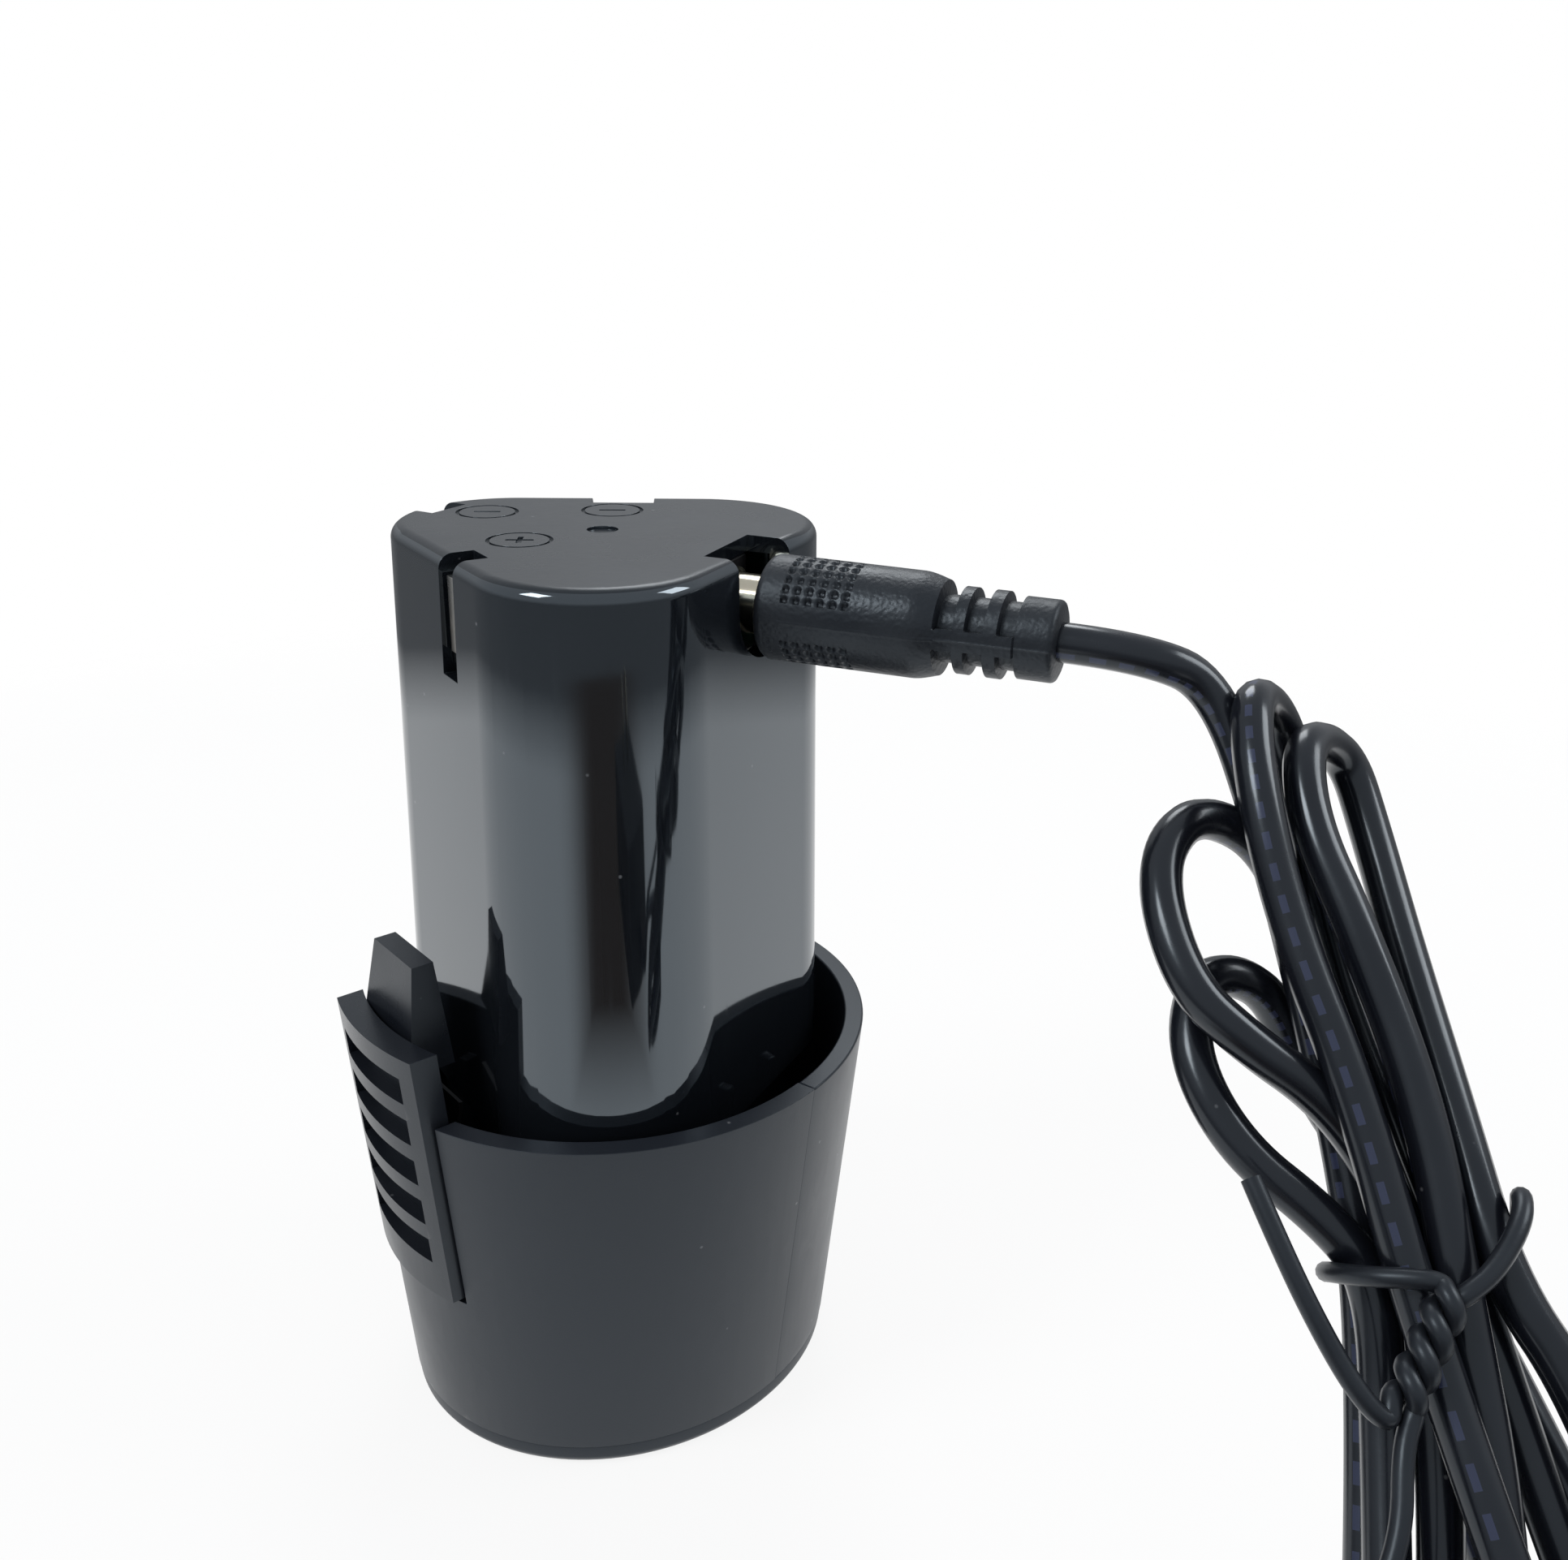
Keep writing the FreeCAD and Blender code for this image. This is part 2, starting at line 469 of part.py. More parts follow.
def build_latch():
    """The ribbed release plate with its catch, and the pin and leaf spring behind it."""
    form = cup_form("latch_outer", "latch_low", "latch_high", "-latch_proud")
    core = cup_form("latch_inner", "latch_low - 1", "latch_high + 1", "latch_thickness - latch_proud")
    width = box("latch_width", ("-45", "-latch_half_width", "latch_low"),
                ("45", "2 * latch_half_width", "latch_high - latch_low"))
    plate = common("latch_plate", cut("latch_shell", form, core), width)
    skin = cut("latch_skin", cup_form("skin_outer", "latch_low", "latch_high", "-latch_proud - 1"),
               cup_form("skin_inner", "latch_low - 1", "latch_high + 1", "latch_slot_depth - latch_proud"))
    grooves = [box("groove_%d" % n, ("-45", "-latch_slot_half", "latch_slot_start + %d * latch_slot_pitch" % n),
                   ("45", "2 * latch_slot_half", "latch_slot_height")) for n in range(5)]
    barrel = rod("latch_barrel", "barrel_radius", "2 * latch_half_width",
                 ("-pivot_reach", "-latch_half_width", "pivot_height"), (0, 1, 0))
    web = box("barrel_web", ("-pivot_reach - 3", "-latch_half_width", "pivot_height - 1"),
              ("3", "2 * latch_half_width", "2"))
    catch = doc.addObject("Part::Wedge", "latch_catch")
    for prop, text in {"Xmin": "0", "Xmax": "10.5", "X2min": "0.6", "X2max": "8.3", "Ymin": "0",
                       "Ymax": "catch_top - latch_high + 4", "Zmin": "0", "Zmax": "catch_thickness",
                       "Z2min": "1.2", "Z2max": "catch_thickness - 1.2"}.items():
        bind(catch, prop, text)
    catch.Placement = FreeCAD.Placement(Vector(0, 0, 0), FreeCAD.Rotation(
        Vector(0, 1, 0), Vector(0, 0, 1), Vector(1, 0, 0), "XYZ"))
    bind(catch, "Placement.Base.x", "-catch_reach - catch_thickness")
    bind(catch, "Placement.Base.y", "catch_side")
    bind(catch, "Placement.Base.z", "latch_high - 4")
    pin_way = rod("latch_pin_way", "pin_radius + pin_play", "2 * latch_half_width + 2",
                  ("-pivot_reach", "-latch_half_width - 1", "pivot_height"), (0, 1, 0))
    solid = cut("latch_solid", fuse("latch_joined", plate, barrel, web, catch),
                common("latch_grooves", fuse("groove_blocks", *grooves), skin), pin_way)
    keep("latch_button", turned(solid, "cup_azimuth"))
    pin = rod("latch_pin_rod", "pin_radius", "2 * pin_half_length - 0.2",
              ("-pivot_reach", "-pin_half_length + 0.1", "pivot_height"), (0, 1, 0))
    keep("latch_pin", turned(fuse("latch_pin_form", pin, rod(
        "latch_pin_core", "pin_radius * 0.9", "2 * pin_half_length",
        ("-pivot_reach", "-pin_half_length", "pivot_height"), (0, 1, 0))), "cup_azimuth"))
    leaf = box("leaf_strip", ("-0.4", "-3", "0"), ("0.4", "6", "14"))
    leaf.Placement = FreeCAD.Placement(Vector(0, 0, 0), FreeCAD.Rotation(Vector(0, 1, 0), 9))
    bind(leaf, "Placement.Base.x", "-pivot_reach - 2.2")
    bind(leaf, "Placement.Base.y", "-3")
    bind(leaf, "Placement.Base.z", "pivot_height + 2.5")
    keep("latch_leaf_spring", turned(common("leaf_form", leaf, box("leaf_room", ("-40", "-3", "0"), ("40", "6", "60"))),
                                     "cup_azimuth"))


def build_plug():
    """The barrel plug: steel barrel, insulator, tip contact and the ribbed overmould."""
    height = JACK_HEIGHT
    back = "plug_start - barrel_length"
    for name, outer, inner in (("plug_barrel", "barrel_outer", "barrel_inner"),
                               ("plug_insulator", "barrel_inner", "insulator_inner"),
                               ("plug_tip_contact", "insulator_inner", "tip_bore")):
        inset = {"plug_barrel": "0", "plug_insulator": "-0.3", "plug_tip_contact": "0.4"}[name]
        run = "barrel_length - (%s)" % inset
        tube = cut(name + "_form", rod(name + "_out", outer, run, (back + " + (%s)" % inset, "0", height), (1, 0, 0)),
                   rod(name + "_in", inner, run, (back + " + (%s)" % inset, "0", height), (1, 0, 0)))
        keep(name, turned(tube, "jack_azimuth"))
    body = rod("mould_body", "overmould_radius", "overmould_body", ("plug_start", "0", height), (1, 0, 0))
    taper = cone("mould_taper", "overmould_radius", "neck_radius", "overmould_taper",
                 ("plug_start + overmould_body", "0", height), (1, 0, 0))
    neck = rod("mould_neck", "collar_radius", "overmould_length - overmould_body - overmould_taper",
               ("plug_start + overmould_body + overmould_taper", "0", height), (1, 0, 0))
    slots = []
    for n in range(3):
        start = "plug_start + overmould_body + overmould_taper - 1.9 + %d * relief_pitch" % n
        ring = cut("relief_ring_%d" % n, rod("relief_out_%d" % n, "overmould_radius", "relief_slot",
                                             (start, "0", height), (1, 0, 0)),
                   rod("relief_in_%d" % n, "relief_core", "relief_slot", (start, "0", height), (1, 0, 0)),
                   box("relief_spine_%d" % n, (start, "-10", height + " - relief_spine"),
                       ("relief_slot", "20", "2 * relief_spine")))
        slots.append(ring)
    form = cut("mould_form", fuse("mould_blank", body, taper, neck), *slots)
    keep("plug_overmould", turned(form, "jack_azimuth"))


def tube_along(points, radius):
    """A tube of straight runs joined by tangent arcs along chosen points, and its least bend."""
    edges = []
    start = points[0]
    least = None
    for before, at, after in zip(points[:-2], points[1:-1], points[2:]):
        into = (at - before).normalize()
        out = (after - at).normalize()
        half = into.getAngle(out) / 2
        shorter = min((at - before).Length, (after - at).Length)
        trim = 0.45 * shorter
        bend = trim / math.tan(half)
        least = bend if least is None else min(least, bend)
        first = at - into * trim
        last = at + out * trim
        centre_way = (out - into).normalize()
        middle = at + centre_way * (bend / math.cos(half) - bend)
        edges.append(Part.LineSegment(start, first).toShape())
        edges.append(Part.Arc(first, middle, last).toShape())
        start = last
    edges.append(Part.LineSegment(start, points[-1]).toShape())
    path = Part.Wire(edges)
    way = (points[1] - points[0]).normalize()
    ring = Part.Wire([Part.Circle(points[0], way, radius).toShape()])
    tube = path.makePipeShell([ring], True, False)
    expected = math.pi * radius * radius * path.Length
    print("tube length %.1f, least bend %.1f, volume share %.4f" % (path.Length, least, tube.Volume / expected))
    return tube


def shaped(label, shape):
    """Keep a shape made by code as a named sub-part."""
    feature = doc.addObject("Part::Feature", label + "_shape")
    feature.Shape = shape
    return keep(label, feature)


# free stretch from the plug to the hank, after its exit from the overmould
FREE_POINTS = ((54.6, -23.6, 81.5), (58.0, -25.2, 72.4))
# stretch from the foot of the hank to the supply
TAIL_POINTS = ((66.4, -87.0, 4.6), (65.4, -93.0, 5.4))
# hank: centre and half lengths across and along at each height
HANK_RINGS = ((66.0, -86.0, 0.0, 9.0, 7.0), (66.0, -82.0, 8.0, 11.0, 8.5), (65.8, -63.0, 26.0, 8.5, 6.5),
              (65.5, -47.6, 42.5, 5.6, 5.6), (63.5, -34.0, 60.0, 8.5, 5.4), (62.0, -24.5, 76.0, 8.0, 4.6),
              (61.5, -20.5, 84.0, 4.5, 2.4))


def build_lead():
    """The cord: free stretch, hank, tail and the wire tie round the hank's waist."""
    azimuth = math.radians(size("jack_azimuth"))
    way = Vector(math.cos(azimuth), math.sin(azimuth), 0)
    exit_reach = size("plug_start") + size("overmould_length")
    exit_point = way * exit_reach + UP * (size("pack_height") - size("jack_drop"))
    first = exit_point + way * 8
    route = [exit_point, first] + [Vector(*p) for p in FREE_POINTS]
    shaped("cord_free", tube_along(route, size("cord_radius")))
    rings = []
    for n, (x, y, z, across, along) in enumerate(HANK_RINGS):
        big, small = max(across, along), min(across, along)
        ring = Part.Ellipse(Vector(x, y, z), big, small)
        wire = Part.Wire([ring.toShape()])
        rings.append(wire)
    hank = Part.makeLoft(rings, True, False)
    shaped("cord_hank", hank)
    end = Vector(size("supply_x"), size("supply_y") + size("relief_length"), size("supply_exit"))
    tail = [Vector(*p) for p in TAIL_POINTS] + [end + Vector(0, 5.5, 0), end]
    shaped("cord_tail", tube_along(tail, size("cord_radius")))
    waist = Vector(65.5, -47.6, 42.5)
    lean = Vector(0.3, -13.0, -15.5).normalize()
    ring = Part.makeTorus(6.3, size("tie_radius"), waist, lean)
    pigtail = Part.makeCylinder(size("tie_radius") * 1.5, 12, waist + Vector(-1.5, -6.6, -1.0), Vector(-0.45, -0.35, -0.75))
    shaped("wire_tie", ring.fuse(pigtail))


def build_supply():
    """The plug-top supply: two case halves, prongs and what is inside them."""
    centre = ("supply_x - supply_half_width", "supply_y - supply_length", "0")
    outer = box("supply_block", centre, ("2 * supply_half_width", "supply_length", "supply_depth"))
    doc.recompute()
    rounded = doc.addObject("Part::Fillet", "supply_rounded")
    rounded.Base = outer
    upright = [n + 1 for n, edge in enumerate(outer.Shape.Edges)
               if abs(edge.Vertexes[0].Z - edge.Vertexes[-1].Z) > 1]
    rounded.Edges = [(n, size("supply_round"), size("supply_round")) for n in upright]
    inner = box("supply_room", ("supply_x - supply_half_width + supply_wall",
                                "supply_y - supply_length + supply_wall", "supply_wall"),
                ("2 * (supply_half_width - supply_wall)", "supply_length - 2 * supply_wall",
                 "supply_depth - 2 * supply_wall"))
    cord_way = rod("cord_way", "cord_radius", "supply_wall + 1",
                   ("supply_x", "supply_y + 0.5", "supply_exit"), (0, -1, 0))
    prong_ways = [prong("prong_way_%d" % n, side, "supply_depth - supply_wall - 1", "supply_wall + 2")
                  for n, side in enumerate(("-1", "1"))]
    shell = cut("supply_shell", rounded, inner, cord_way, *prong_ways)
    for name, low in (("supply_case_lower", "-1"), ("supply_case_upper", "supply_depth / 2")):
        side = box(name + "_side", ("supply_x - 50", "supply_y - 90", low),
                   ("100", "100", "supply_depth / 2 + 1"))
        if name.endswith("lower"):
            bind(side, "Height", "supply_depth / 2 + 1")
        keep(name, common(name + "_form", shell, side))
    prongs = doc.addObject("Part::Compound", "prong_pair")
    prongs.Links = [prong("prong_%d" % n, side, "supply_depth - supply_wall - 3", "supply_wall + 3 + prong_length")
                    for n, side in enumerate(("-1", "1"))]
    keep("supply_prongs", prongs)
    relief = cone("supply_relief_cone", "relief_radius", "cord_radius + 0.7", "relief_length",
                  ("supply_x", "supply_y", "supply_exit"), (0, 1, 0))
    keep("supply_cord_relief", relief)
    floor = "supply_wall"
    keep("supply_board", box("supply_board_form", ("supply_x - 17", "supply_y - supply_length + 4", floor + " + 3"),
                             ("34", "supply_length - 8", "1.6")))
    posts = doc.addObject("Part::Compound", "board_posts")
    posts.Links = [rod("board_post_%d" % n, "2", "3", ("supply_x + %s" % a, "supply_y - supply_length + %s" % b, floor))
                   for n, (a, b) in enumerate((("-14", "7"), ("14", "7"), ("-14", "51"), ("14", "51")))]
    keep("supply_board_posts", posts)
    top = floor + " + 4.6"
    keep("supply_transformer", box("transformer_form", ("supply_x - 9", "supply_y - 40", top), ("18", "16", "14")))
    keep("supply_capacitor", rod("capacitor_form", "4.5", "14", ("supply_x + 11", "supply_y - 14", top)))
    keep("supply_output_capacitor", rod("output_capacitor_form", "3.2", "11", ("supply_x - 12", "supply_y - 10", top)))


def prong(name, side, low, tall):
    """One flat mains prong standing on the wide face."""
    return box(name, ("supply_x + %s * blade_pitch / 2 - prong_thickness / 2" % side,
                      "supply_y - supply_length + 16", low), ("prong_thickness", "prong_width", tall))


build_cup()
build_stem()
build_contacts()
build_core()
build_jack()
build_latch()
build_plug()
build_lead()
build_supply()
doc.recompute()

faults = [thing.Name for thing in doc.Objects if "Invalid" in thing.State or "Error" in thing.State]
for thing in PARTS:
    if thing.Shape.isNull() or not thing.Shape.isValid() or thing.Shape.Volume <= 0:
        faults.append(thing.Label)
if faults:
    raise RuntimeError("failed: " + ", ".join(faults))

os.makedirs("parts", exist_ok=True)
for thing in PARTS:
    thing.Shape.exportStep("parts/%s.step" % thing.Label)
    print("%-26s volume %9.1f solids %d" % (thing.Label, thing.Shape.Volume, len(thing.Shape.Solids)))
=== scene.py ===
"""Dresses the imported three-cell pack, its barrel plug, lead and supply for the render.

Every length is in metres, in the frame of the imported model.
"""

import logging
import math
from dataclasses import dataclass
from enum import Enum

import bmesh
import bpy
from mathutils import Matrix, Vector


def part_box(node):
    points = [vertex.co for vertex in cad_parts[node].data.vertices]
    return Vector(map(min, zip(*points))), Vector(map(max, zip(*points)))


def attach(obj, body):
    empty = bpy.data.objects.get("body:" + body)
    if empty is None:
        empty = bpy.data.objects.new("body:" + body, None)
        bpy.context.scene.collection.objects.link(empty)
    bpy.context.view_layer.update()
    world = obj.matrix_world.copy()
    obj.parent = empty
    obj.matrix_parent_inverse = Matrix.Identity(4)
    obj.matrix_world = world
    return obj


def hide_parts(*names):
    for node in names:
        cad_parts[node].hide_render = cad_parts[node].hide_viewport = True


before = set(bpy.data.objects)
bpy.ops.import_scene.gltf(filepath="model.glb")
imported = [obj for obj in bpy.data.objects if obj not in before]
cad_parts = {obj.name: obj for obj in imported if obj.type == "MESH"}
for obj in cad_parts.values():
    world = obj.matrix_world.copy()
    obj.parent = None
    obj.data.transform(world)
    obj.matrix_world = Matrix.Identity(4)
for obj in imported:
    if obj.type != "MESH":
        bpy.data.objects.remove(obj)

log = logging.getLogger("charger_pack")
Colour = tuple[float, float, float]


class Body(Enum):
    """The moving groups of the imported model."""

    PACK = "pack"
    LATCH = "latch"
    LEAD = "lead"


class Slot(Enum):
    """The record's material slots that the scene's own pieces use."""

    HOUSING = "housing"
    CUP = "cup"
    LATCH = "latch"
    BLADE = "blade"
    JACK = "jack"
    PLATED = "plated"
    OVERMOULD = "overmould"
    CORD = "cord"
    TIE = "tie"
    SUPPLY = "supply"


def feed(links, place: bpy.types.NodeSocket, value) -> None:
    """Links a socket to an input, or sets the input to a plain value."""
    if isinstance(value, bpy.types.NodeSocket):
        links.new(value, place)
    else:
        place.default_value = value


def maths(nodes, links, operation: str, *values) -> bpy.types.NodeSocket:
    """Adds a Math node and returns its result.

    Args:
        nodes: the tree's nodes.
        links: the tree's links.
        operation: what the node does.
        values: its inputs in order, each a socket or a number.

    Returns:
        The node's output.
    """
    node = nodes.new("ShaderNodeMath")
    node.operation = operation
    for place, value in zip(node.inputs, values):
        feed(links, place, value)
    return node.outputs[0]


def ranged(nodes, links, value, start=0.0, end=1.0, low=0.0, high=1.0,
           interpolation: str = "LINEAR") -> bpy.types.NodeSocket:
    """Adds a Map Range node and returns its result.

    Args:
        nodes: the tree's nodes.
        links: the tree's links.
        value: the socket to map.
        start, end: what it is mapped from, each a socket or a number.
        low, high: what it is mapped to, each a socket or a number.
        interpolation: the shape of the change between them.

    Returns:
        The node's output.
    """
    node = nodes.new("ShaderNodeMapRange")
    node.interpolation_type = interpolation
    given = {"Value": value, "From Min": start, "From Max": end, "To Min": low, "To Max": high}
    for key, number in given.items():
        feed(links, node.inputs[key], number)
    return node.outputs["Result"]


class SurfaceEffects:
    """Node groups that several finishes share, each built once."""

    _built: dict[str, bpy.types.NodeTree] = {}

    @classmethod
    def _tree(cls, name: str, inputs: dict[str, float], output: str) -> tuple:
        """Starts a group with a Vector input, named numbers and one output.

        Args:
            name: the group's name.
            inputs: names of the number inputs and their defaults.
            output: the name of the value that the group gives.

        Returns:
            The tree, its input node and its output node.
        """
        tree = bpy.data.node_groups.new(name, "ShaderNodeTree")
        tree.interface.new_socket("Vector", in_out="INPUT", socket_type="NodeSocketVector")
        for key, value in inputs.items():
            socket = tree.interface.new_socket(key, in_out="INPUT", socket_type="NodeSocketFloat")
            socket.default_value = value
        tree.interface.new_socket(output, in_out="OUTPUT", socket_type="NodeSocketFloat")
        return tree, tree.nodes.new("NodeGroupInput"), tree.nodes.new("NodeGroupOutput")

    @classmethod
    def grain(cls) -> bpy.types.NodeTree:
        """Returns the height of a moulded or leathery grain."""
        if "grain" not in cls._built:
            tree, given, out = cls._tree("moulded_grain", {"Scale": 1500.0, "Pebble": 0.5}, "Height")
            noise = tree.nodes.new("ShaderNodeTexNoise")
            noise.inputs["Detail"].default_value = 4.0
            cells = tree.nodes.new("ShaderNodeTexVoronoi")
            cells.feature = "SMOOTH_F1"
            mix = tree.nodes.new("ShaderNodeMix")
            link = tree.links.new
            link(given.outputs["Vector"], noise.inputs["Vector"])
            link(given.outputs["Vector"], cells.inputs["Vector"])
            link(given.outputs["Scale"], noise.inputs["Scale"])
            link(given.outputs["Scale"], cells.inputs["Scale"])
            link(given.outputs["Pebble"], mix.inputs["Factor"])
            link(noise.outputs["Fac"], mix.inputs["A"])
            link(cells.outputs["Distance"], mix.inputs["B"])
            link(mix.outputs["Result"], out.inputs["Height"])
            cls._built["grain"] = tree
        return cls._built["grain"]

    @classmethod
    def cloud(cls) -> bpy.types.NodeTree:
        """Returns a soft uneven mask, for handling marks and mottled colour."""
        if "cloud" not in cls._built:
            tree, given, out = cls._tree("handling_cloud", {"Scale": 60.0, "Sharpness": 0.2}, "Mask")
            noise = tree.nodes.new("ShaderNodeTexNoise")
            noise.inputs["Detail"].default_value = 3.0
            nodes, links = tree.nodes, tree.links
            links.new(given.outputs["Vector"], noise.inputs["Vector"])
            links.new(given.outputs["Scale"], noise.inputs["Scale"])
            start = maths(nodes, links, "MULTIPLY", given.outputs["Sharpness"], 0.5)
            links.new(ranged(nodes, links, noise.outputs["Fac"], start, 0.75), out.inputs["Mask"])
            cls._built["cloud"] = tree
        return cls._built["cloud"]

    @classmethod
    def hairlines(cls) -> bpy.types.NodeTree:
        """Returns a mask of fine marks that run along Z."""
        if "hairlines" not in cls._built:
            tree, given, out = cls._tree("hairline_marks", {"Scale": 900.0, "Amount": 0.3}, "Mask")
            stretch = tree.nodes.new("ShaderNodeMapping")
            stretch.inputs["Scale"].default_value = (1.0, 1.0, 0.03)
            noise = tree.nodes.new("ShaderNodeTexNoise")
            noise.inputs["Detail"].default_value = 2.0
            links = tree.links
            links.new(given.outputs["Vector"], stretch.inputs["Vector"])
            links.new(stretch.outputs["Vector"], noise.inputs["Vector"])
            links.new(given.outputs["Scale"], noise.inputs["Scale"])
            mask = ranged(tree.nodes, links, noise.outputs["Fac"], 0.62, 0.74, 0.0, given.outputs["Amount"])
            links.new(mask, out.inputs["Mask"])
            cls._built["hairlines"] = tree
        return cls._built["hairlines"]

    @classmethod
    def specks(cls) -> bpy.types.NodeTree:
        """Returns a mask of sparse bright dust specks."""
        if "specks" not in cls._built:
            tree, given, out = cls._tree("dust_specks", {"Scale": 420.0, "Amount": 0.5}, "Mask")
            cells = tree.nodes.new("ShaderNodeTexVoronoi")
            pick = tree.nodes.new("ShaderNodeSeparateColor")
            nodes, links = tree.nodes, tree.links
            links.new(given.outputs["Vector"], cells.inputs["Vector"])
            links.new(given.outputs["Scale"], cells.inputs["Scale"])
            links.new(cells.outputs["Color"], pick.inputs["Color"])
            near = ranged(nodes, links, cells.outputs["Distance"], 0.09, 0.04)
            few = maths(nodes, links, "GREATER_THAN", pick.outputs["Red"], 0.86)
            both = maths(nodes, links, "MULTIPLY", near, few)
            links.new(maths(nodes, links, "MULTIPLY", both, given.outputs["Amount"]), out.inputs["Mask"])
            cls._built["specks"] = tree
        return cls._built["specks"]


# The print along the cord: dashes on its whole length, how much of each step is dash,
# half their width as a share of the way round, how far they cover the sheath
DASHES = 430.0
DASH_SHARE = 0.55
DASH_HALF_WIDTH = 0.028
DASH_STRENGTH = 0.26
PRINT_COLOUR = (0.10, 0.12, 0.26)
DUST_COLOUR = (0.35, 0.36, 0.38)


@dataclass(frozen=True)
class Finish:
    """How one surface of the real part looks.

    Args:
        name: the material's name.
        colour: its main colour.
        tint: the colour that the cloudy mask and the marks bring in.
        roughness: lowest and highest roughness.
        grain: grain scale per metre, depth in metres and the share of pebbles.
        cloud: scale per metre of the uneven mask.
        metallic, ior, coat, coat_roughness: the shader's own numbers.
        marks: strength of fine marks along Z.
        dust: strength of the dust specks.
        tint_of_gloss: the colour of its reflections seen straight on.
        printed: True for the faded dashes along the cord.
    """

    name: str
    colour: Colour
    tint: Colour
    roughness: tuple[float, float]
    grain: tuple[float, float, float] = (1500.0, 0.00001, 0.4)
    cloud: float = 60.0
    metallic: float = 0.0
    ior: float = 1.5
    coat: float = 0.0
    coat_roughness: float = 0.1
    marks: float = 0.0
    dust: float = 0.0
    tint_of_gloss: Colour = (1.0, 1.0, 1.0)
    printed: bool = False

    def material(self) -> bpy.types.Material:
        """Returns the material, building it the first time."""
        known = bpy.data.materials.get(self.name)
        return known if known else self._build()

    def _group(self, nodes, tree: bpy.types.NodeTree, **values: float) -> bpy.types.Node:
        """Places a shared effect with its own values and returns the node."""
        node = nodes.new("ShaderNodeGroup")
        node.node_tree = tree
        for key, value in values.items():
            node.inputs[key].default_value = value
        return node

    def _blend(self, nodes, links, factor, first, second: Colour):
        """Mixes a colour socket or colour towards another by a mask and returns the result."""
        mix = nodes.new("ShaderNodeMix")
        mix.data_type = "RGBA"
        links.new(factor, mix.inputs[0])
        if isinstance(first, tuple):
            mix.inputs[6].default_value = (*first, 1.0)
        else:
            links.new(first, mix.inputs[6])
        mix.inputs[7].default_value = (*second, 1.0)
        return mix.outputs[2]

    def _dashes(self, nodes, links, where):
        """Returns a mask of short faded dashes in a line along the cord's own map."""
        split = nodes.new("ShaderNodeSeparateXYZ")
        links.new(where.outputs["UV"], split.inputs[0])
        wave = maths(nodes, links, "FRACT", maths(nodes, links, "MULTIPLY", split.outputs["X"], DASHES))
        on = maths(nodes, links, "LESS_THAN", wave, DASH_SHARE)
        across = maths(nodes, links, "COMPARE", split.outputs["Y"], 0.5, DASH_HALF_WIDTH)
        both = maths(nodes, links, "MULTIPLY", on, across)
        return maths(nodes, links, "MULTIPLY", both, DASH_STRENGTH)

    def _build(self) -> bpy.types.Material:
        """Builds the material's nodes."""
        made = bpy.data.materials.new(self.name)
        made.use_nodes = True
        nodes, links = made.node_tree.nodes, made.node_tree.links
        shader = nodes["Principled BSDF"]
        where = nodes.new("ShaderNodeTexCoord")
        here = where.outputs["Object"]
        shader.inputs["Metallic"].default_value = self.metallic
        shader.inputs["IOR"].default_value = self.ior
        shader.inputs["Specular Tint"].default_value = (*self.tint_of_gloss, 1.0)
        shader.inputs["Coat Weight"].default_value = self.coat
        shader.inputs["Coat Roughness"].default_value = self.coat_roughness
        cloud = self._group(nodes, SurfaceEffects.cloud(), Scale=self.cloud, Sharpness=0.6)
        links.new(here, cloud.inputs["Vector"])
        mask = cloud.outputs["Mask"]
        colour = self._blend(nodes, links, mask, self.colour, self.tint)
        roughness = ranged(nodes, links, mask, 0.0, 1.0, *self.roughness)
        if self.marks:
            lines = self._group(nodes, SurfaceEffects.hairlines(), Scale=800.0, Amount=self.marks)
            links.new(here, lines.inputs["Vector"])
            roughness = maths(nodes, links, "ADD", roughness, lines.outputs["Mask"])
        if self.dust:
            dust = self._group(nodes, SurfaceEffects.specks(), Scale=420.0, Amount=self.dust)
            links.new(here, dust.inputs["Vector"])
            colour = self._blend(nodes, links, dust.outputs["Mask"], colour, DUST_COLOUR)
        if self.printed:
            colour = self._blend(nodes, links, self._dashes(nodes, links, where), colour, PRINT_COLOUR)
        scale, depth, pebble = self.grain
        grain = self._group(nodes, SurfaceEffects.grain(), Scale=scale, Pebble=pebble)
        links.new(here, grain.inputs["Vector"])
        bump = nodes.new("ShaderNodeBump")
        bump.inputs["Strength"].default_value = 0.6
        bump.inputs["Distance"].default_value = depth
        links.new(grain.outputs["Height"], bump.inputs["Height"])
        links.new(bump.outputs["Normal"], shader.inputs["Normal"])
        links.new(colour, shader.inputs["Base Color"])
        links.new(roughness, shader.inputs["Roughness"])
        return made


# Painted reflection: a cool blue tint given to the reflections of the plastics.
PAINTED_COOL_REFLECTION = (0.78, 0.90, 1.0)
STEM_GLOSS = Finish("stem_gloss_plastic", (0.006, 0.0075, 0.010), (0.009, 0.011, 0.014), (0.035, 0.075),
                    grain=(260.0, 0.000004, 0.2), cloud=45.0, ior=2.05, marks=0.06, dust=0.35,
                    tint_of_gloss=PAINTED_COOL_REFLECTION)
STEM_TOP = Finish("stem_top_satin", (0.007, 0.009, 0.012), (0.012, 0.014, 0.018), (0.24, 0.36),
                  grain=(1300.0, 0.00002, 0.3), cloud=120.0, dust=0.3, tint_of_gloss=PAINTED_COOL_REFLECTION)
CUP_SATIN = Finish("cup_satin_plastic", (0.0105, 0.0128, 0.0185), (0.0145, 0.0168, 0.0225), (0.30, 0.42),
                   grain=(5200.0, 0.00001, 0.5), cloud=50.0, dust=0.3, tint_of_gloss=PAINTED_COOL_REFLECTION)
